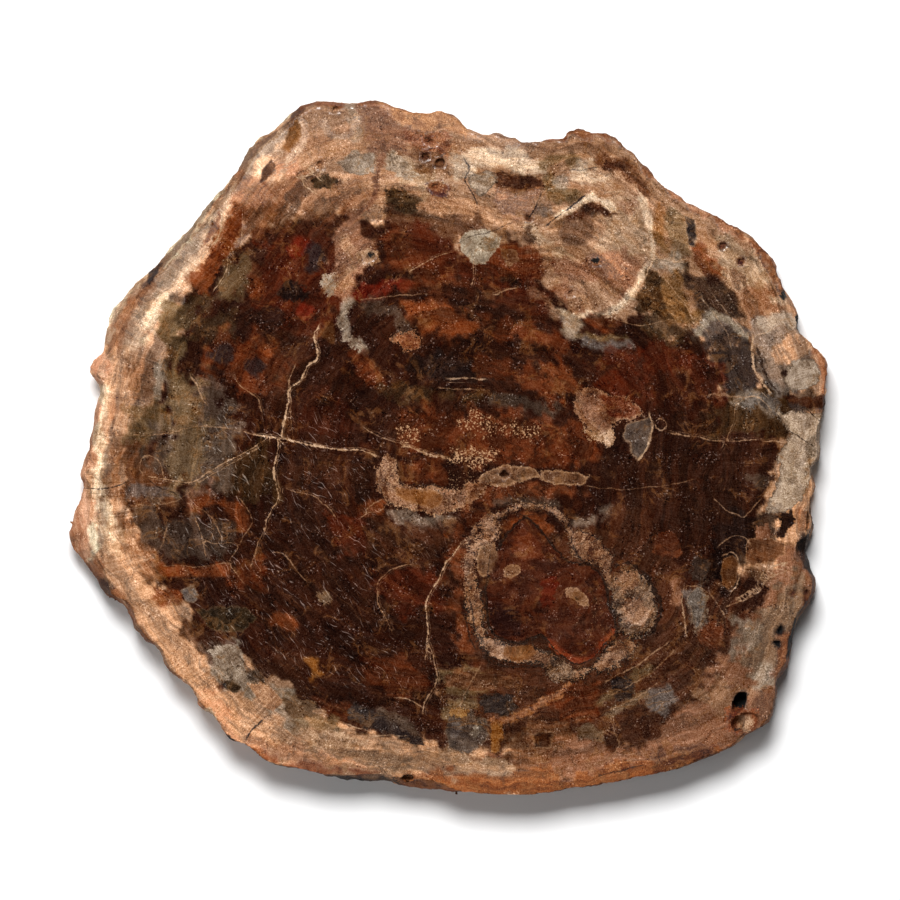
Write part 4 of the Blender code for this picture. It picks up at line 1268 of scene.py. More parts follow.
VEINS = {
    "level": (1.3, 0.4, 0.75, 104,436, 130,436, 152,436, 180,431, 205,427, 235,430, 256,434),
    "west_level": (2, 0.75, 0.95, 256,434, 275,438, 300,443, 320,447, 345,449, 360,450, 377,455),
    "drop": (2.1, 0.8, 0.95, 318,326, 315,338, 318,352, 317,360, 308,365, 305,375, 300,382, 293,386,
        289,392, 287,404, 284,420, 282,438),
    "south_drop": (2, 0.75, 0.95, 279,440, 278,455, 275,468, 275,480, 278,492, 278,500, 272,511, 266,520,
        263,532),
    "thread": (1.1, 0.45, 0.8, 267,523, 260,540, 256,552, 252,565),
    "slant": (1.4, 0.6, 0.9, 268,438, 252,449, 232,459, 210,471, 196,480, 182,482, 165,478, 150,476),
    "middle_drop": (1.7, 0.75, 0.95, 460,547, 449,560, 440,577, 427,598, 427,611, 429,626, 427,641,
        426,657),
    "drop_second": (1.4, 0.6, 0.9, 429,642, 434,655, 437,670, 436,682, 428,697, 424,712),
    "pith_vein": (1.1, 0.6, 0.8, 366,428, 376,434, 388,440, 400,444),
    "pith_vein_thick": (3, 0.6, 0.9, 402,445, 414,449, 428,455, 440,458, 447,459),
    "east_level": (1.3, 0.5, 0.85, 668,433, 687,435, 710,440, 730,441, 755,440, 783,441),
    "east_drop": (1, 0.35, 0.8, 736,404, 735,418, 729,434, 722,448),
    "low_drop": (1, 0.4, 0.7, 610,714, 615,733, 619,744, 608,759),
    "brown": (1.6, 0.3, 0.85, 412,563, 402,566, 390,570, 379,580, 377,592, 378,604, 385,617, 392,630),
    "purple_vein": (1.2, 0.35, 0.8, 288,489, 300,493, 312,495, 322,503, 332,511, 337,517),
    "red_forest_vein": (1.2, 0.5, 0.8, 234,377, 240,386, 250,392, 257,398, 260,408, 262,412),
    "grey_forest_vein": (1.3, 0.6, 0.8, 193,376, 198,383, 201,390, 204,398, 207,402),
}
trace(veins, VEINS)

FINE_VEINS = {
    "slant": (1, 0.55, 0.8, 262,446, 246,456, 230,464, 214,474, 200,481),
    "drop_branch": (1.1, 0.6, 0.8, 290,386, 291,374, 295,365),
    "drop_strand": (1, 0.4, 0.75, 292,388, 289,405, 290,420, 294,434),
    "ringlet": (1.1, 0.45, 0.8, 143,474, 140,466, 142,458, 150,455, 158,458, 163,466, 165,475),
    "arc": (1.3, 0.35, 0.6, 143,562, 152,557, 160,550, 165,540, 168,528),
    "olive_cell": (1.1, 0.4, 0.8, 197,518, 200,528, 204,540, 205,555),
    "olive_cell_north": (1, 0.4, 0.8, 189,503, 197,507, 207,512, 214,520, 222,534),
    "olive_cell_south": (1, 0.4, 0.8, 205,540, 216,543, 228,541, 238,545, 234,555, 230,562, 238,575,
        243,582),
    "orange_edge": (1, 0.5, 0.7, 240,498, 248,508, 252,520, 245,535, 240,545),
    "tan_wedge_edge": (0.9, 0.4, 0.8, 275,553, 284,553, 292,563, 301,576, 306,582),
    "orange_streak": (0.9, 0.5, 0.6, 160,563, 185,566, 210,565, 232,562),
    "loop": (1, 0.45, 0.8, 360,519, 368,512, 378,511, 385,506, 386,498, 379,500, 372,504, 367,509),
    "line": (1, 0.35, 0.7, 480,665, 472,680, 463,698, 458,712),
    "white": (1, 0.8, 0.8, 348,724, 357,727, 371,730),
    "white_low": (1, 0.8, 0.8, 372,736, 385,734, 405,734),
    "white_third": (1.1, 0.7, 0.8, 396,697, 406,698, 414,701, 423,708),
    "lilac_line": (1.1, 0.6, 0.7, 440,389, 460,389, 484,390),
    "white_dashes": (1.5, 0.9, 0.7, 449,379, 462,378, 484,378),
    "flow_line": (1.1, 0.5, 0.7, 362,300, 378,298, 400,296, 428,294),
    "east": (0.9, 0.3, 0.6, 585,485, 617,490, 652,487, 677,484, 693,479),
    "amber_edge": (0.9, 0.4, 0.7, 138,503, 155,506, 172,503, 182,497, 190,490),
}
trace(fine_veins, FINE_VEINS)

# %% Cracks of the heart
CRACKS = {
    "crack": (1.5, 0, 0.9, 247,738, 256,726, 262,720, 268,714),
    "knot_line": (2, 0, 0.85, 497,547, 504,539, 512,529, 520,521, 526,517, 534,524, 542,533, 550,541,
        556,548),
    "knot_line_west": (1.8, 0, 0.9, 488,610, 489,622, 492,632, 500,639, 515,642, 530,641, 540,636, 547,641,
        556,651, 568,660, 580,663, 592,657, 602,647, 610,637),
    "knot_grains": (2.2, 0, 0.75, 484,655, 489,662, 500,665, 515,667, 533,666),
    "knot_grains_west": (2.2, 0, 0.7, 464,600, 465,618, 468,636, 476,648),
    "knot_east_line": (1.6, 0, 0.7, 614,600, 616,612, 615,628),
    "knot_west_line": (1.4, 0, 0.7, 489,552, 488,565, 487,582, 486,596),
    "arch_shadow": (1.5, 0, 0.5, 480,512, 498,507, 520,501, 545,503),
    "west_rim": (1, 0, 0.8, 80,487, 98,489, 112,487, 127,483),
    "purple_line": (1.2, 0, 0.8, 150,480, 162,488, 180,495),
    "crescent_shadow": (1.2, 0, 0.6, 402,484, 425,485, 452,487, 466,486),
    "bed_line": (1.1, 0, 0.7, 370,706, 388,716, 404,727, 424,738),
    "drop_shadow": (1.1, 0, 0.6, 295,388, 293,405, 297,425, 300,436),
}
trace(cracks, CRACKS)

# %% [markdown]
# ### Veins outside the heart
# The paler stone round the heart is cracked too. Most cracks healed white, and a few stayed dark.

# %% Veins and cracks of the top
NORTH_VEINS = {
    "tongue_vein": (1.8, 0.85, 0.9, 220,208, 221,222, 219,236, 213,247, 203,260),
    "line": (1.2, 0.8, 0.8, 229,259, 228,268, 225,277, 215,290),
    "north_line": (1.1, 0.7, 0.8, 244,212, 243,228, 242,246),
    "dots": (1.3, 0.6, 0.8, 411,271, 420,266, 432,260, 451,253),
    "cross": (1.6, 0.9, 0.9, 298,178, 308,176, 322,172),
    "north_cross": (1.6, 0.9, 0.9, 306,166, 314,172, 322,181),
    "cross_third": (1.4, 0.8, 0.9, 299,176, 306,187, 318,194),
    "under_shard": (1.4, 0.7, 0.9, 474,262, 473,272, 471,284),
    "tick": (1.2, 0.6, 0.8, 494,295, 505,291, 518,288),
    "wing_line": (1.2, 0.5, 0.7, 548,284, 562,282, 575,284),
    "wing_fan": (1.2, 0.7, 0.6, 532,232, 544,244, 556,262, 566,286),
    "east_wing_fan": (1, 0.7, 0.6, 540,228, 556,240, 572,262),
    "white_crescent": (2.6, 0.95, 0.95, 557,219, 566,214, 575,209, 588,202, 605,199),
    "block_line": (1.4, 0.8, 0.8, 650,258, 664,259, 681,263),
}
trace(veins, NORTH_VEINS)

NORTH_CRACKS = {
    "crack": (1.5, 0, 0.95, 466,160, 470,168, 466,179, 471,190, 476,203),
    "crack_east": (1.5, 0, 0.95, 539,196, 536,208, 530,219),
    "crack_black": (2, 0, 0.95, 583,196, 575,204, 566,211, 556,219, 548,226),
    "shard_crack": (1, 0, 0.7, 459,243, 474,237, 490,232, 511,224),
}
trace(cracks, NORTH_CRACKS)

# %% Veins and cracks of the right side and the lower right
EAST_VEINS = {
    "nodule_border": (2, 0.8, 0.8, 636,188, 646,206, 651,230, 653,258, 643,280, 626,304, 606,318),
    "nodule_arc": (1.2, 0.8, 0.7, 604,203, 616,206, 630,208, 641,216),
    "nodule_arc_second": (1, 0.7, 0.6, 612,216, 626,218, 640,232, 644,250),
    "line_in_slab": (1, 0.9, 0.7, 648,258, 664,262, 686,260),
    "wisp": (1.2, 0.6, 0.8, 664,278, 674,292, 686,306, 694,320),
    "wisp_second": (1.1, 0.6, 0.8, 672,314, 684,322, 692,334),
    "wisp_third": (1, 0.6, 0.7, 614,318, 640,326, 668,320),
    "grey_wisp": (1.4, 0.8, 0.5, 700,300, 712,312, 724,330, 730,346),
    "grey_wisp_second": (1.2, 0.8, 0.5, 712,296, 726,312, 742,332),
    "grey_wisp_third": (1.2, 0.8, 0.5, 694,316, 706,330, 712,346),
    "arc": (2.6, 0.7, 0.9, 752,338, 751,355, 756,375, 768,393),
    "fan_line_second": (1.2, 0.9, 0.7, 780,326, 757,336),
    "chevron_line": (1.6, 0.8, 0.8, 738,404, 750,396, 762,400, 770,410),
    "knot_swirl": (1.6, 0.9, 0.7, 606,192, 624,192, 640,204, 648,222),
    "knot_swirl_second": (1.3, 0.9, 0.6, 602,222, 612,240, 618,254),
    "knot_swirl_third": (1.3, 0.9, 0.6, 534,240, 552,252, 572,262),
    "patch_edge": (1.6, 0.9, 0.9, 650,413, 652,428, 647,446, 638,460),
    "loops": (1.2, 0.6, 0.8, 655,422, 661,418, 666,426, 660,431, 655,427),
    "double_vein": (1.8, 0.7, 0.9, 737,597, 752,588, 762,574, 774,566, 785,563),
    "double_vein_low": (1.4, 0.6, 0.8, 742,600, 757,592, 768,578, 786,570),
    "oval_outline": (1.3, 0.6, 0.8, 722,556, 730,552, 738,562, 738,578, 730,592),
    "ring_outline": (1.2, 0.6, 0.7, 718,546, 728,537, 742,536, 750,545),
    "slot_line": (1.6, 0.8, 0.9, 808,508, 809,520, 805,533),
    "band": (2.6, 0.4, 0.6, 706,396, 722,394, 741,398),
    "plume": (1.1, 0.6, 0.7, 714,498, 724,510, 742,516),
    "plume_second": (1.2, 0.5, 0.7, 742,516, 754,506, 766,492),
    "tan": (1.5, 0.5, 0.8, 607,682, 622,674, 640,662, 667,642),
    "low_tan": (1.2, 0.4, 0.7, 612,694, 632,684, 650,672, 672,652),
    "tan_third": (1.1, 0.4, 0.6, 616,706, 640,694, 660,680),
    "lens_line": (1.3, 0.7, 0.8, 684,584, 681,600, 682,618, 686,634),
    "lens_arc": (1.3, 0.5, 0.7, 687,584, 702,588, 714,600, 724,616),
    "triangle_outline": (1.3, 0.5, 0.8, 726,606, 744,598, 758,584, 772,572),
}
trace(fine_veins, EAST_VEINS)

EAST_CRACKS = {
    "knot_black": (4.5, 0, 0.9, 616,567, 630,564, 645,574, 656,591, 660,612, 652,632),
    "knot_black_join": (3.5, 0, 0.8, 606,584, 608,600, 613,618, 616,636, 606,648),
    "knot_black_south": (2, 0, 0.9, 486,652, 498,663, 520,667, 542,664),
    "knot_black_west": (2.5, 0, 0.7, 470,596, 472,612, 474,628, 484,642),
    "knot_black_inner": (3, 0, 0.7, 484,588, 487,606, 489,624, 497,637),
    "knot_black_crust": (2.2, 0, 0.8, 571,538, 575,552, 584,564, 597,566),
    "arch_gap": (1.2, 0, 0.7, 498,520, 516,512, 536,510, 552,516, 564,528),
    "white_crack": (1.2, 0, 0.9, 790,432, 799,438, 811,445),
    "white_crack_second": (1.1, 0, 0.9, 806,410, 815,418, 823,425),
    "arc_shadow": (2.6, 0, 0.8, 756,348, 760,366, 768,382, 778,394),
    "crack": (1, 0, 0.7, 560,171, 580,170, 598,169),
    "seam": (1.2, 0, 0.7, 600,775, 620,771, 641,765),
    "chip_line": (1.4, 0, 0.8, 203,708, 210,714, 219,721),
    "knob_line": (1.3, 0, 0.6, 240,657, 252,668, 265,681),
    "slot_dark": (2.2, 0, 0.9, 812,512, 813,524, 808,536),
}
trace(cracks, EAST_CRACKS)

# %% [markdown]
# ## Pits
# Small holes open in the face and the rim. Their walls never met the saw or the polish, so each takes a
# colour below the level of the face. Some are crusted with rust and pale crystals, which is their own
# colour, and the deep ones are painted dark inside: painted shade.

# %% Colour the pits
SUNK = 0.0004
PIT_SOFTNESS = 2
BRIM_SHARE = 0.7

PITS = {
    "top_pits": (area(414,148, 448,146, 448,176, 424,176), "bark_brown"),
    "top_pit_low": (oval(435, 187, 9, 6), "crust"),
    "crust_pit": (oval(370, 257, 7, 7), "black"),
    "pith_hollow": (oval(504, 474, 7, 7), "dark_bark_and_shade"),
    "right_pits_north": (area(712,236, 750,250, 752,272, 716,258), "bark_brown"),
    "rim_pits_east": (area(770,584, 816,584, 814,604, 770,604), "bark_brown"),
    "rim_pits_south": (area(764,620, 794,620, 790,655, 764,655), "dark_bark_and_shade"),
    "deep_hole": (oval(739, 701, 14, 14), "pit"),
    "red_hole": (oval(740, 722, 16, 12), "rim_red"),
    "red_hole_depth": (oval(736, 723, 8, 7), "pit"),
    "left_low_pit": (oval(222, 686, 7, 7), "bark_brown"),
    "edge_break_hole": (oval(407, 778, 12, 8), "dark_bark_and_shade"),
    "heart_pit": (oval(528, 218, 6, 6), "bark_brown"),
}
edge_ends = np.empty(len(stone.data.edges) * 2, dtype=np.int32)
stone.data.edges.foreach_get("vertices", edge_ends)
one_end, other_end = edge_ends.reshape(-1, 2).T
sunk = np.clip((HIGH.z - level) / SUNK - 1, 0, 1)
brim = sunk.copy()
np.maximum.at(brim, one_end, BRIM_SHARE * sunk[other_end])
np.maximum.at(brim, other_end, BRIM_SHARE * sunk[one_end])

# Dark kinds on the sunk corners are painted shade in the holes; rust and crust are their own colour
for shape, kind in PITS.values():
    near, depth = depth_near(shape, 2 * PIT_SOFTNESS)
    share = (brim[near] * soft_step(depth + PIT_SOFTNESS, PIT_SOFTNESS))[:, None]
    ground[near] += share * (MIXTURES[kind] - ground[near])
ground[:, POLISH] *= 1 - np.clip(brim / BRIM_SHARE, 0, 1)
print(len(PITS), "pits coloured")

# %% [markdown]
# ## Keeping the paint on the mesh
# Everything painted so far becomes attributes of the mesh, mostly three numbers each, for the material.
# Colours are kept as the eye steps them, near sRGB, so that light and dark blend evenly, and the last node
# turns them into linear light.

# %% Write the attributes
EYE = 2.2

wall_share = np.clip(off_face / EDGE_BAND, 0, 1) * (level > LOW.z + FLAT)


def keep(name, values):
    """Stores one number or three numbers at each corner."""
    kind = "FLOAT" if values.ndim == 1 else "FLOAT_VECTOR"
    attribute = stone.data.attributes.new(name, kind, "POINT")
    key = "value" if values.ndim == 1 else "vector"
    attribute.data.foreach_set(key, np.ascontiguousarray(values, dtype=np.float32).ravel())


def as_seen(colours):
    """Linear light as the eye steps it."""
    return np.clip(colours, 0, 1) ** (1 / EYE)


keep("ground_main", as_seen(ground[:, MAIN]))
keep("ground_second", as_seen(ground[:, SECOND]))
keep("ground_traits", ground[:, TRAITS])
keep("surface", np.column_stack((ground[:, POLISH], wall_share, fibres)))
keep("crumbs", sugar)
keep("thread_walls", walls)
for name, layer in (("patch", patches), ("cell", cells), ("spot", spots)):
    keep(name + "_main", as_seen(layer["colours"][:, MAIN]))
    keep(name + "_second", as_seen(layer["colours"][:, SECOND]))
    keep(name + "_field", layer["field"])
keep("rims", np.column_stack((patches["rim"], cells["rim"], spots["rim"])))
for name, lines in (("vein", veins), ("fine_vein", fine_veins), ("crack", cracks)):
    keep(name + "_field", lines["field"])
keep("growth_place", growth_place)
keep("vein_tones", np.column_stack((veins["tone"], fine_veins["tone"], cracks["tone"])))
print(len(stone.data.attributes), "attributes")

# %% [markdown]
# ## Effects of the material
# The material is built from a few effects, each a node group: swirled clouds, a mosaic of small healed
# shards, fine scratches, a net of fine threads, a crisp edge for painted depths, and a thin line. The
# shards are laid along the rings, in the place in the growth. The others measure in pixels of the picture,
# so their sizes match the painted ones.

# %% Small helpers for nodes
def plug(tree, socket, value):
    """Links an input to an output, or sets it to a value. Without either it keeps its own."""
    if isinstance(value, bpy.types.NodeSocket):
        tree.links.new(value, socket)
    elif value is not None:
        socket.default_value = value


def node(tree, kind, *values, **settings):
    """Adds a node, sets it up, plugs or sets its inputs in order, and gives its first output."""
    made = tree.nodes.new("ShaderNode" + kind)
    for name, setting in settings.items():
        setattr(made, name, setting)
    for socket, value in zip(made.inputs, values):
        plug(tree, socket, value)
    return made.outputs[0]


def sums(tree, operation, *values):
    """A Math node."""
    return node(tree, "Math", *values, operation=operation)


def vectors(tree, operation, first, second=None, third=None, scale=None):
    """A Vector Math node."""
    made = node(tree, "VectorMath", first, second, third, operation=operation).node
    if scale is not None:
        plug(tree, made.inputs["Scale"], scale)
    return made.outputs["Vector"]


def blend(tree, share, first, second):
    """Mixes two colours."""
    made = tree.nodes.new("ShaderNodeMix")
    made.data_type = "RGBA"
    for name, value in (("Factor_Float", share), ("A_Color", first), ("B_Color", second)):
        plug(tree, next(socket for socket in made.inputs if socket.identifier == name), value)
    return next(socket for socket in made.outputs if socket.identifier == "Result_Color")


def ramp(tree, value, low, high, to_low=0.0, to_high=1.0):
    """Runs from one value to another, smoothly, as the input goes from low to high."""
    return node(tree, "MapRange", value, low, high, to_low, to_high, interpolation_type="SMOOTHSTEP")


# %% Noise and paint
def speckle(tree, here, period, detail=2.0, roughness=0.5, distortion=0.0, output="Fac"):
    """Noise from 0 to 1 with about this many pixels between its humps."""
    made = tree.nodes.new("ShaderNodeTexNoise")
    tree.links.new(here, made.inputs["Vector"])
    for name, value in (("Scale", 1 / period), ("Detail", detail), ("Roughness", roughness),
                        ("Distortion", distortion)):
        made.inputs[name].default_value = value
    return made.outputs[output]


def shake(tree, here, period, detail=2.0, roughness=0.5):
    """The same noise, from -0.5 to 0.5."""
    return sums(tree, "SUBTRACT", speckle(tree, here, period, detail, roughness), 0.5)


def sway(tree, here, period):
    """Noise in three directions, from -0.5 to 0.5 in each, to bend places with."""
    return vectors(tree, "SUBTRACT", speckle(tree, here, period, output="Color"), (0.5, 0.5, 0.5))


def painted(tree, name):
    """A painted attribute, as a vector."""
    return node(tree, "Attribute", attribute_name=name).node.outputs["Vector"]


def parts(tree, vector):
    """The three numbers of a vector."""
    return node(tree, "SeparateXYZ", vector).node.outputs


def lighten(tree, colour, tone):
    """Adds the same tone to all three colours, or takes it away where it is negative."""
    return vectors(tree, "ADD", colour, node(tree, "CombineXYZ", tone, tone, tone))


# %% Helpers for node groups
def new_group(name, inputs, outputs):
    """An empty node group with these sockets: its tree, its inputs by name and its output node."""
    tree = bpy.data.node_groups.new(name, "ShaderNodeTree")
    for names, side in ((inputs, "INPUT"), (outputs, "OUTPUT")):
        for socket_name, kind in names.items():
            tree.interface.new_socket(socket_name, in_out=side, socket_type="NodeSocket" + kind)
    return tree, tree.nodes.new("NodeGroupInput").outputs, tree.nodes.new("NodeGroupOutput")


def use(tree, group, *values):
    """Places a node group and plugs or sets its inputs in order."""
    made = tree.nodes.new("ShaderNodeGroup")
    made.node_tree = group
    for socket, value in zip(made.inputs, values):
        plug(tree, socket, value)
    return made.outputs


# %% Clouds
CLOUD_PERIOD = 30
CLOUD_SWIRL = 2.4
CLOUD_CREST = (0.36, 0.64)


def clouds_group():
    """Agate clouding: smooth swirls of light and dark."""
    tree, given, result = new_group("clouds", {"Here": "Vector"}, {"Mask": "Float"})
    wide = speckle(tree, given["Here"], CLOUD_PERIOD, roughness=0.45, distortion=CLOUD_SWIRL)
    tree.links.new(ramp(tree, wide, *CLOUD_CREST), result.inputs["Mask"])
    return tree


# %% Shards
SWIRL_PERIOD = 22
SWIRL = (19, 19, 19)
SHARD_SCALES = (1, 0.42)
NET_DENSITY = 1.7
NET_GAP_PERIOD = 1.3
NET_GAPS = (0.5, 0.6)
THREAD_WIDTH = 0.075


def shards_group():
    """Healed shards: cells with clean borders, each a little lighter or darker, and threads between some."""
    tree, given, result = new_group("shards", {"Place": "Vector"},
                                    {"Tone": "Float", "Share": "Float", "Thread": "Float"})
    tone_sum = share_sum = None
    for size in SHARD_SCALES:
        cell = tree.nodes.new("ShaderNodeTexVoronoi")
        tree.links.new(given["Place"], cell.inputs["Vector"])
        cell.inputs["Scale"].default_value = 1 / size
        tone, share = parts(tree, cell.outputs["Color"])[:2]
        tone_sum = tone if tone_sum is None else sums(tree, "ADD", tone_sum, tone)
        share_sum = share if share_sum is None else sums(tree, "ADD", share_sum, share)
    tree.links.new(sums(tree, "SUBTRACT", tone_sum, 1.0), result.inputs["Tone"])
    tree.links.new(sums(tree, "SUBTRACT", share_sum, 1.0), result.inputs["Share"])
    border = tree.nodes.new("ShaderNodeTexVoronoi")
    border.feature = "DISTANCE_TO_EDGE"
    tree.links.new(given["Place"], border.inputs["Vector"])
    border.inputs["Scale"].default_value = NET_DENSITY
    walls = ramp(tree, border.outputs["Distance"], 0.0, THREAD_WIDTH, 1.0, 0.0)
    kept = ramp(tree, speckle(tree, given["Place"], NET_GAP_PERIOD), *NET_GAPS)
    tree.links.new(sums(tree, "MULTIPLY", walls, kept), result.inputs["Thread"])
    return tree


# %% Fibres
FIBRE_TURNS = (35, 62)
FIBRE_LENGTH = 15
FIBRE_WIDTH = 1.2
FIBRE_DEPTH = 10
FIBRE_CREST = (0.68, 0.78)
FIBRE_BEND = (20, 20, 20)
FIBRE_BEND_PERIOD = 30


def fibres_group():
    """Fine pale scratches and threads of cell wall, in two directions."""
    tree, given, result = new_group("fibres", {"Here": "Vector"}, {"Mask": "Float"})
    bend = sway(tree, given["Here"], FIBRE_BEND_PERIOD)
    bent = vectors(tree, "MULTIPLY_ADD", bend, FIBRE_BEND, given["Here"])
    mask = None
    for turn in FIBRE_TURNS:
        lying = node(tree, "VectorRotate", bent, None, None, radians(turn), rotation_type="Z_AXIS")
        drawn = vectors(tree, "MULTIPLY", lying, (1 / FIBRE_LENGTH, 1 / FIBRE_WIDTH, 1 / FIBRE_DEPTH))
        thread = ramp(tree, speckle(tree, drawn, 1, detail=1, roughness=0.4), *FIBRE_CREST)
        mask = thread if mask is None else sums(tree, "MAXIMUM", mask, thread)
    tree.links.new(mask, result.inputs["Mask"])
    return tree


# %% Threads
THREAD_CREST = (1.75, 2.2)
THREAD_NOISE = {"Scale": 1, "Detail": 3, "Roughness": 0.75, "Lacunarity": 2.3,
                "Offset": 1, "Gain": 2.2, "Distortion": 0.5}
THREAD_DRIFT_PERIOD = 23
THREAD_DRIFT = (0.44, 0.6)


def threads_group():
    """A net of fine threads, like the walls between agate cells: the crests of ridged noise."""
    tree, given, result = new_group("threads", {"Here": "Vector", "Period": "Float"}, {"Mask": "Float"})
    place = vectors(tree, "DIVIDE", given["Here"], given["Period"])
    crests = tree.nodes.new("ShaderNodeTexNoise")
    crests.noise_type = "RIDGED_MULTIFRACTAL"
    crests.normalize = False
    tree.links.new(place, crests.inputs["Vector"])
    for name, value in THREAD_NOISE.items():
        crests.inputs[name].default_value = value
    crest = ramp(tree, crests.outputs["Fac"], *THREAD_CREST)
    drift = speckle(tree, given["Here"], THREAD_DRIFT_PERIOD, detail=3, roughness=0.6)
    broken = ramp(tree, drift, *THREAD_DRIFT)
    tree.links.new(sums(tree, "MULTIPLY", crest, broken), result.inputs["Mask"])
    return tree


# %% Crisp edges
RIM_WIDTH = 1.6
RIM_INSET = 0.3
TEAR_PERIOD = 8
TEAR_REACH = 5.5
CRUMB_PERIOD = 2.2
CRUMB_REACH = 7.0
CLEAN_SOFTNESS = 0.35
RAGGED_SOFTNESS = 0.55


def edge_group():
    """Cuts a painted depth off at zero, with a ragged or grainy edge, and finds the rim inside it."""
    tree, given, result = new_group("crisp_edge", {"Field": "Vector", "Here": "Vector", "Growth": "Vector"},
                                    {"Mask": "Float", "Rim": "Float"})
    depth, ragged, grain = parts(tree, given["Field"])
    both_ways = sums(tree, "ADD", speckle(tree, given["Here"], TEAR_PERIOD, detail=4, roughness=0.65),
                     speckle(tree, given["Growth"], 1, detail=4, roughness=0.65))
    torn = sums(tree, "SUBTRACT", both_ways, 1.0)
    torn_depth = sums(tree, "MULTIPLY_ADD", torn, sums(tree, "MULTIPLY", ragged, TEAR_REACH), depth)
    crumb = shake(tree, given["Here"], CRUMB_PERIOD, roughness=0.6)
    grain_reach = sums(tree, "MULTIPLY", grain, CRUMB_REACH)
    grainy_depth = sums(tree, "MULTIPLY_ADD", crumb, grain_reach, torn_depth)
    softness = sums(tree, "MULTIPLY_ADD", ragged, RAGGED_SOFTNESS, CLEAN_SOFTNESS)
    inside = ramp(tree, sums(tree, "DIVIDE", grainy_depth, softness), -1.0, 1.0)
    tree.links.new(inside, result.inputs["Mask"])
    from_rim = sums(tree, "ABSOLUTE", sums(tree, "SUBTRACT", grainy_depth, RIM_INSET))
    tree.links.new(ramp(tree, from_rim, RIM_INSET, RIM_WIDTH, 1.0, 0.0), result.inputs["Rim"])
    return tree


# %% Thin lines
SHAKE_PERIOD = 6
SHAKE_REACH = 4.2
SWELL_PERIOD = 7
SWELL = (0.36, 0.64, 0.12, 1.3)
LINE_SOFTNESS = 0.6


def line_group():
    """Draws a line where the painted distance to its middle is small, with a wandering width."""
    tree, given, result = new_group("thin_line", {"Field": "Vector", "Here": "Vector", "Aside": "Float"},
                                    {"Mask": "Float"})
    side, half_width, strength = parts(tree, given["Field"])
    wobble = shake(tree, given["Here"], SHAKE_PERIOD, detail=4, roughness=0.65)
    beside = sums(tree, "ADD", side, given["Aside"])
    away = sums(tree, "ABSOLUTE", sums(tree, "MULTIPLY_ADD", wobble, SHAKE_REACH, beside))
    swell = ramp(tree, speckle(tree, given["Here"], SWELL_PERIOD, detail=3, roughness=0.7), *SWELL)
    reach = sums(tree, "MULTIPLY", half_width, swell)
    inside = sums(tree, "SUBTRACT", reach, away)
    mask = sums(tree, "MULTIPLY", ramp(tree, inside, -LINE_SOFTNESS, LINE_SOFTNESS), strength)
    tree.links.new(mask, result.inputs["Mask"])
    return tree


CLOUDS, SHARDS, FIBRES = clouds_group(), shards_group(), fibres_group()
THREADS, EDGE, LINE = threads_group(), edge_group(), line_group()
print(len(bpy.data.node_groups), "effects")

# %% [markdown]
# ## The stone
# One material covers the whole slice, because it is one stone. It lays the streaked ground first, then
# the patches and cells with their crisp edges, then hairlines, veins and cracks, and last the grain,
# the specks and the quartz. The sawn faces are glossy and nearly flat, and the wall is dull bark.

# %% Ground colours
RAY_STRETCH = (33, 33, 0.1)
RING_SWIRL = (1.8, 1.8, 1.8)
RING_SHARDS = 0.42
RAY_SHARE = 0.3
STREAK_CREST = (0.4, 0.6)
SHARD_IN_STREAKS = 0.4

material = bpy.data.materials.new("petrified_wood")
material.use_nodes = True
tree = material.node_tree
shader = tree.nodes["Principled BSDF"]
object_place = node(tree, "TexCoord").node.outputs["Object"]
here = vectors(tree, "SCALE", object_place, scale=1 / PIXEL)

clouding = use(tree, CLOUDS, here)[0]
growth = painted(tree, "growth_place")
second_amount, band_amount, grain_amount = parts(tree, painted(tree, "ground_traits"))
rims = parts(tree, painted(tree, "rims"))
sugar_amount, wall_amount = [
    node(tree, "Attribute", attribute_name=name).node.outputs["Fac"] for name in ("crumbs", "thread_walls")]
polish, bark, fibre_amount = parts(tree, painted(tree, "surface"))

swirl = sway(tree, here, SWIRL_PERIOD)
swirled = vectors(tree, "MULTIPLY_ADD", swirl, SWIRL, here)
bent_growth = vectors(tree, "MULTIPLY_ADD", swirl, RING_SWIRL, growth)
along_rings = vectors(tree, "SCALE", bent_growth, scale=RING_SHARDS)
off_bands = sums(tree, "SUBTRACT", 1.0, band_amount)
shard_tone, shard_share, thread = [
    sums(tree, "MULTIPLY", off_bands, part) for part in use(tree, SHARDS, along_rings)]
rays = speckle(tree, vectors(tree, "MULTIPLY", growth, RAY_STRETCH), 1, roughness=0.6)
ring_waves = speckle(tree, bent_growth, 1, detail=4, roughness=0.6, distortion=0.3)
feathered = sums(tree, "MULTIPLY_ADD", sums(tree, "SUBTRACT", rays, 0.5), RAY_SHARE, ring_waves)
streaks = ramp(tree, feathered, *STREAK_CREST)
streaky_share = sums(tree, "MULTIPLY_ADD", shard_share, SHARD_IN_STREAKS, streaks)
mixed_share = sums(tree, "MULTIPLY", off_bands, streaky_share)
second_share = sums(tree, "MULTIPLY", mixed_share, second_amount)
second_share.node.use_clamp = True
colour = blend(tree, second_share, painted(tree, "ground_main"), painted(tree, "ground_second"))
print(len(tree.nodes), "nodes")

# %% Wide bands along the rings
BAND_STRETCH = 0.38
BAND_CREST = (0.4, 0.62)
BAND_TONE = 0.55

band_place = vectors(tree, "SCALE", bent_growth, scale=BAND_STRETCH)
wide_rings = speckle(tree, band_place, 1, detail=5, roughness=0.62, distortion=0.5)
bands = ramp(tree, wide_rings, *BAND_CREST, -0.5, 0.5)
band_scale = sums(tree, "MULTIPLY_ADD", bands, sums(tree, "MULTIPLY", band_amount, BAND_TONE), 1.0)
colour = vectors(tree, "SCALE", colour, scale=band_scale)
print(len(tree.nodes), "nodes")

# %% Patches and cells
def paint(red, green, blue):
    """An sRGB colour, as the attributes keep colours."""
    return (*as_seen(linear((red, green, blue))), 1)


RIM_PALE = paint(188, 146, 108)
RIM_DARK = paint(26, 19, 15)
CLOUDS_IN_PATCH = 0.8
SHARD_IN_PATCH = 0.5

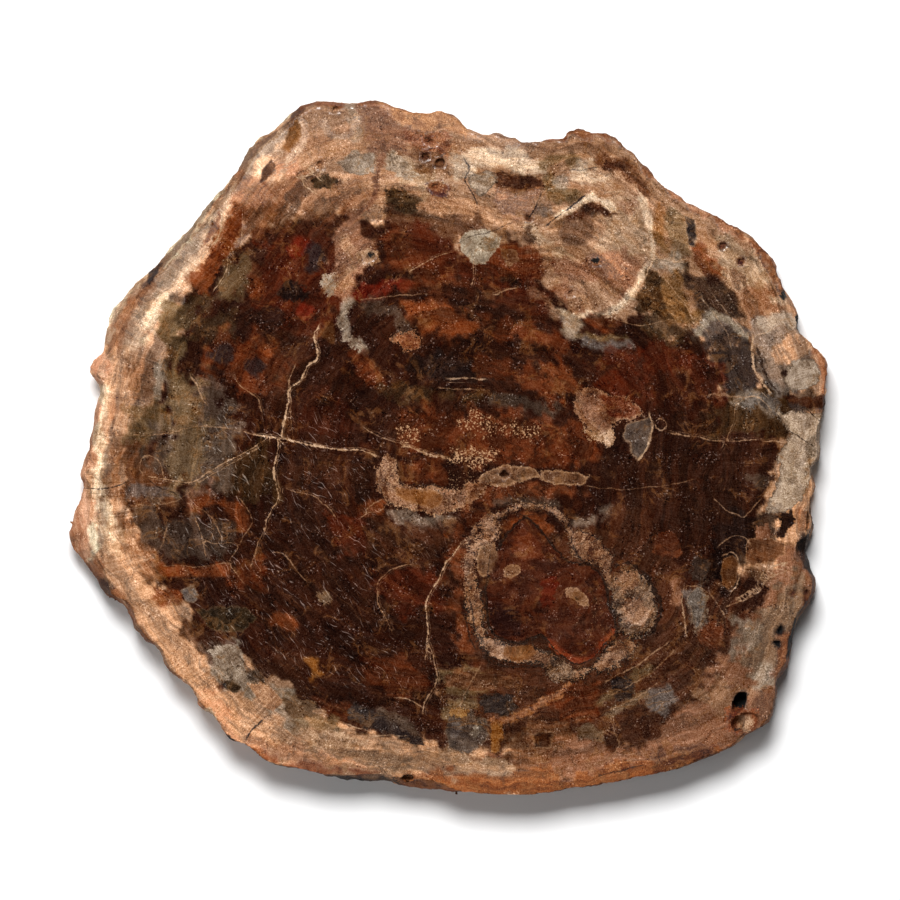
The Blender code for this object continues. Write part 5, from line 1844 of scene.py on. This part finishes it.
clouded = sums(tree, "MULTIPLY", clouding, CLOUDS_IN_PATCH)
mixed = sums(tree, "MULTIPLY_ADD", shard_share, SHARD_IN_PATCH, clouded)
mixed.node.use_clamp = True
for name, rim in zip(("patch", "cell", "spot"), rims):
    tint = blend(tree, mixed, painted(tree, name + "_main"), painted(tree, name + "_second"))
    mask, rim_mask = use(tree, EDGE, painted(tree, name + "_field"), here, bent_growth)
    colour = blend(tree, mask, colour, tint)
    for side, rim_colour in ((1, RIM_PALE), (-1, RIM_DARK)):
        strength = sums(tree, "MULTIPLY", rim_mask, sums(tree, "MULTIPLY", rim, side))
        strength.node.use_clamp = True
        colour = blend(tree, strength, colour, rim_colour)
print(len(tree.nodes), "nodes")

# %% Hairlines, veins and cracks
THREAD_GOLD = paint(132, 86, 46)
VEIN_TAN = paint(120, 82, 54)
VEIN_WHITE = paint(186, 152, 120)
CRACK_DARK = paint(34, 20, 13)
WALL_STRENGTH = 0.5
WALL_EVERYWHERE = 0.2
GOLD_THREAD_PERIOD = 34
GOLD_THREAD_STRENGTH = 0.4
STRAND_ASIDE = 2.0
STRAND_SHIFT = (40, 0, 3)
STRAND_THIN = (1, 0.45, 0.55)
DARK_THREAD_PERIOD = 24
DARK_THREAD_TURN = 38
DARK_THREAD_SCALE = 0.8

wall_strength = sums(tree, "MULTIPLY_ADD", wall_amount, WALL_STRENGTH, WALL_EVERYWHERE)
shard_walls = sums(tree, "MULTIPLY", thread, wall_strength)
gold_threads = use(tree, THREADS, swirled, GOLD_THREAD_PERIOD)[0]
gold_strength = sums(tree, "MULTIPLY", gold_threads, GOLD_THREAD_STRENGTH)
threads = sums(tree, "MAXIMUM", shard_walls, gold_strength)
colour = blend(tree, threads, colour, THREAD_GOLD)
turned = node(tree, "VectorRotate", swirled, None, None, radians(DARK_THREAD_TURN), rotation_type="Z_AXIS")
dark_threads = use(tree, THREADS, turned, DARK_THREAD_PERIOD)[0]
thread_scale = ramp(tree, dark_threads, 0.0, 1.0, 1.0, DARK_THREAD_SCALE)
colour = vectors(tree, "SCALE", colour, scale=thread_scale)

tones = parts(tree, painted(tree, "vein_tones"))
for name, tone in (("vein", tones[0]), ("fine_vein", tones[1])):
    vein_colour = blend(tree, tone, VEIN_TAN, VEIN_WHITE)
    field = painted(tree, name + "_field")
    mask = use(tree, LINE, field, here, 0.0)[0]
    if name == "vein":
        strand_place = vectors(tree, "ADD", here, STRAND_SHIFT)
        thin_field = vectors(tree, "MULTIPLY", field, STRAND_THIN)
        strand = use(tree, LINE, thin_field, strand_place, STRAND_ASIDE)[0]
        mask = sums(tree, "MAXIMUM", mask, strand)
    colour = blend(tree, mask, colour, vein_colour)
crack_mask = use(tree, LINE, painted(tree, "crack_field"), here, 0.0)[0]
colour = blend(tree, crack_mask, colour, CRACK_DARK)
print(len(tree.nodes), "nodes")

# %% [markdown]
# ### Grain
# Light and dark are added evenly to all three colours, as the eye steps them. The grain is stronger on
# pale stone, strongest in sugary quartz, and follows the rings where the wood does.

# %% Grain
# Pixels between its humps, its detail, and its strength
GRAINS = ((1.1, 1, 0.25), (2.4, 2, 0.08))
PALE_GAIN = 2.6
DARK_GAIN = 0.5
SUGAR_GAIN = 1.6
CELL_TONE = 0.06
MOTTLE = 0.5
MOTTLE_PERIOD = 5
RING_TONE = 0.2
THIN_RINGS = 2.7
SCRATCH_TONE = 0.28

grain = sums(tree, "MULTIPLY", shard_tone, CELL_TONE)
for period, detail, strength in GRAINS:
    shift = shake(tree, here, period, detail, roughness=0.6)
    grain = sums(tree, "MULTIPLY_ADD", shift, strength, grain)
lightness = node(tree, "RGBToBW", colour)
light_gain = sums(tree, "MULTIPLY_ADD", lightness, PALE_GAIN, DARK_GAIN)
gain = sums(tree, "MULTIPLY_ADD", sugar_amount, SUGAR_GAIN, light_gain)
grain = sums(tree, "MULTIPLY", grain, gain)
mottle = shake(tree, here, MOTTLE_PERIOD, detail=4, roughness=0.7)
grain = sums(tree, "MULTIPLY_ADD", mottle, sums(tree, "MULTIPLY", lightness, MOTTLE), grain)
ring_place = vectors(tree, "SCALE", growth, scale=THIN_RINGS)
thin_rings = speckle(tree, ring_place, 1, roughness=0.6, distortion=0.3)
both_ways = sums(tree, "ADD", thin_rings, rays)
ring_tone = sums(tree, "MULTIPLY", sums(tree, "SUBTRACT", both_ways, 1.0),
                 sums(tree, "MULTIPLY", light_gain, RING_TONE))
grain = sums(tree, "MULTIPLY_ADD", ring_tone, band_amount, grain)
scratches = use(tree, FIBRES, here)[0]
scratch_tone = sums(tree, "MULTIPLY", fibre_amount, SCRATCH_TONE)
grain = sums(tree, "MULTIPLY_ADD", scratches, scratch_tone, grain)
colour = lighten(tree, colour, grain)
print(len(tree.nodes), "nodes")

# %% Specks in drifts, pale ones and dark ones
SPECK_TONE = 0.27
SPECK_PERIOD = 1.7
PALE_SPECKS = (0.63, 0.72)
DARK_SPECKS = (0.28, 0.37)
DRIFT_PERIOD = 19
DRIFT_CREST = (0.46, 0.62)

drifts = ramp(tree, speckle(tree, here, DRIFT_PERIOD, detail=3, roughness=0.6), *DRIFT_CREST)
specks = speckle(tree, here, SPECK_PERIOD, detail=1)
pale_specks = ramp(tree, specks, *PALE_SPECKS, 0.0, SPECK_TONE)
dark_specks = ramp(tree, specks, *DARK_SPECKS, SPECK_TONE, 0.0)
speck_tone = sums(tree, "MULTIPLY", sums(tree, "SUBTRACT", pale_specks, dark_specks), drifts)
colour = lighten(tree, colour, speck_tone)
print(len(tree.nodes), "nodes")

# %% Sugary quartz grains, pale and dark
PALE_GRAIN = paint(182, 142, 106)
DARK_GRAIN = paint(34, 22, 14)
GRAIN_PERIOD = 1.7
GRAIN_LEVEL = 0.80
GRAIN_LEVEL_DROP = -0.30
GRAIN_EDGE = 0.16
SUGAR_PERIOD = 3.4
CLUSTER_PERIOD = 17
CLUSTERS = (0.36, 0.58, 0.45, 1.0)
DARK_CRUMBS = (0.38, 0.44, 1.0, 0.0)
PALE_CRUMBS = (0.55, 0.66, 0.0, 0.75)
BLACKEST = (0.02, 0.02, 0.02)

grains = speckle(tree, here, GRAIN_PERIOD, roughness=0.6)
pale_level = sums(tree, "MULTIPLY_ADD", grain_amount, GRAIN_LEVEL_DROP, GRAIN_LEVEL)
pale_mask = ramp(tree, sums(tree, "SUBTRACT", grains, pale_level), 0.0, GRAIN_EDGE)
colour = blend(tree, pale_mask, colour, PALE_GRAIN)
crumbs = speckle(tree, here, SUGAR_PERIOD, detail=4, roughness=0.8)
clusters = ramp(tree, speckle(tree, here, CLUSTER_PERIOD), *CLUSTERS)
crumb_strength = sums(tree, "MULTIPLY", sugar_amount, clusters)
dark_crumbs = sums(tree, "MULTIPLY", ramp(tree, crumbs, *DARK_CRUMBS), crumb_strength)
colour = blend(tree, dark_crumbs, colour, DARK_GRAIN)
pale_crumbs = sums(tree, "MULTIPLY", ramp(tree, crumbs, *PALE_CRUMBS), sugar_amount)
colour = blend(tree, pale_crumbs, colour, PALE_GRAIN)

shown = vectors(tree, "MAXIMUM", colour, BLACKEST)
tree.links.new(node(tree, "Gamma", shown, EYE), shader.inputs["Base Color"])
print(len(tree.nodes), "nodes")

# %% Gloss and relief
POLISHED = 0.07
DULL = 0.85
MIRROR = 0.25
BUMP_STRENGTH = 0.5
BUMP_DEPTH = 0.0006
RELIEF_LEVEL = 1.02

face_polish = sums(tree, "MULTIPLY", polish, sums(tree, "SUBTRACT", 1.0, bark))
roughness = ramp(tree, face_polish, 0.0, 1.0, DULL, POLISHED)
tree.links.new(roughness, shader.inputs["Roughness"])
shader.inputs["Specular IOR Level"].default_value = MIRROR
bump = tree.nodes.new("ShaderNodeBump")
bump.inputs["Strength"].default_value = BUMP_STRENGTH
bump.inputs["Distance"].default_value = BUMP_DEPTH
relief = sums(tree, "MULTIPLY", grains, sums(tree, "SUBTRACT", RELIEF_LEVEL, face_polish))
tree.links.new(relief, bump.inputs["Height"])
tree.links.new(bump.outputs["Normal"], shader.inputs["Normal"])
print(len(tree.nodes), "nodes in all")

# %% [markdown]
# ## Finish
# The slice takes its material, its smooth shading with a sharp edge at the face, and its place in the
# frame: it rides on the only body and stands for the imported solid.

# %% Dress the slice and hand over
SHARP_ANGLE = 40

stone.data.materials.clear()
stone.data.materials.append(material)
bpy.ops.object.select_all(action="DESELECT")
stone.select_set(True)
bpy.context.view_layer.objects.active = stone
bpy.ops.object.shade_smooth_by_angle(angle=radians(SHARP_ANGLE))
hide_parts(NODE)
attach(stone, "root")
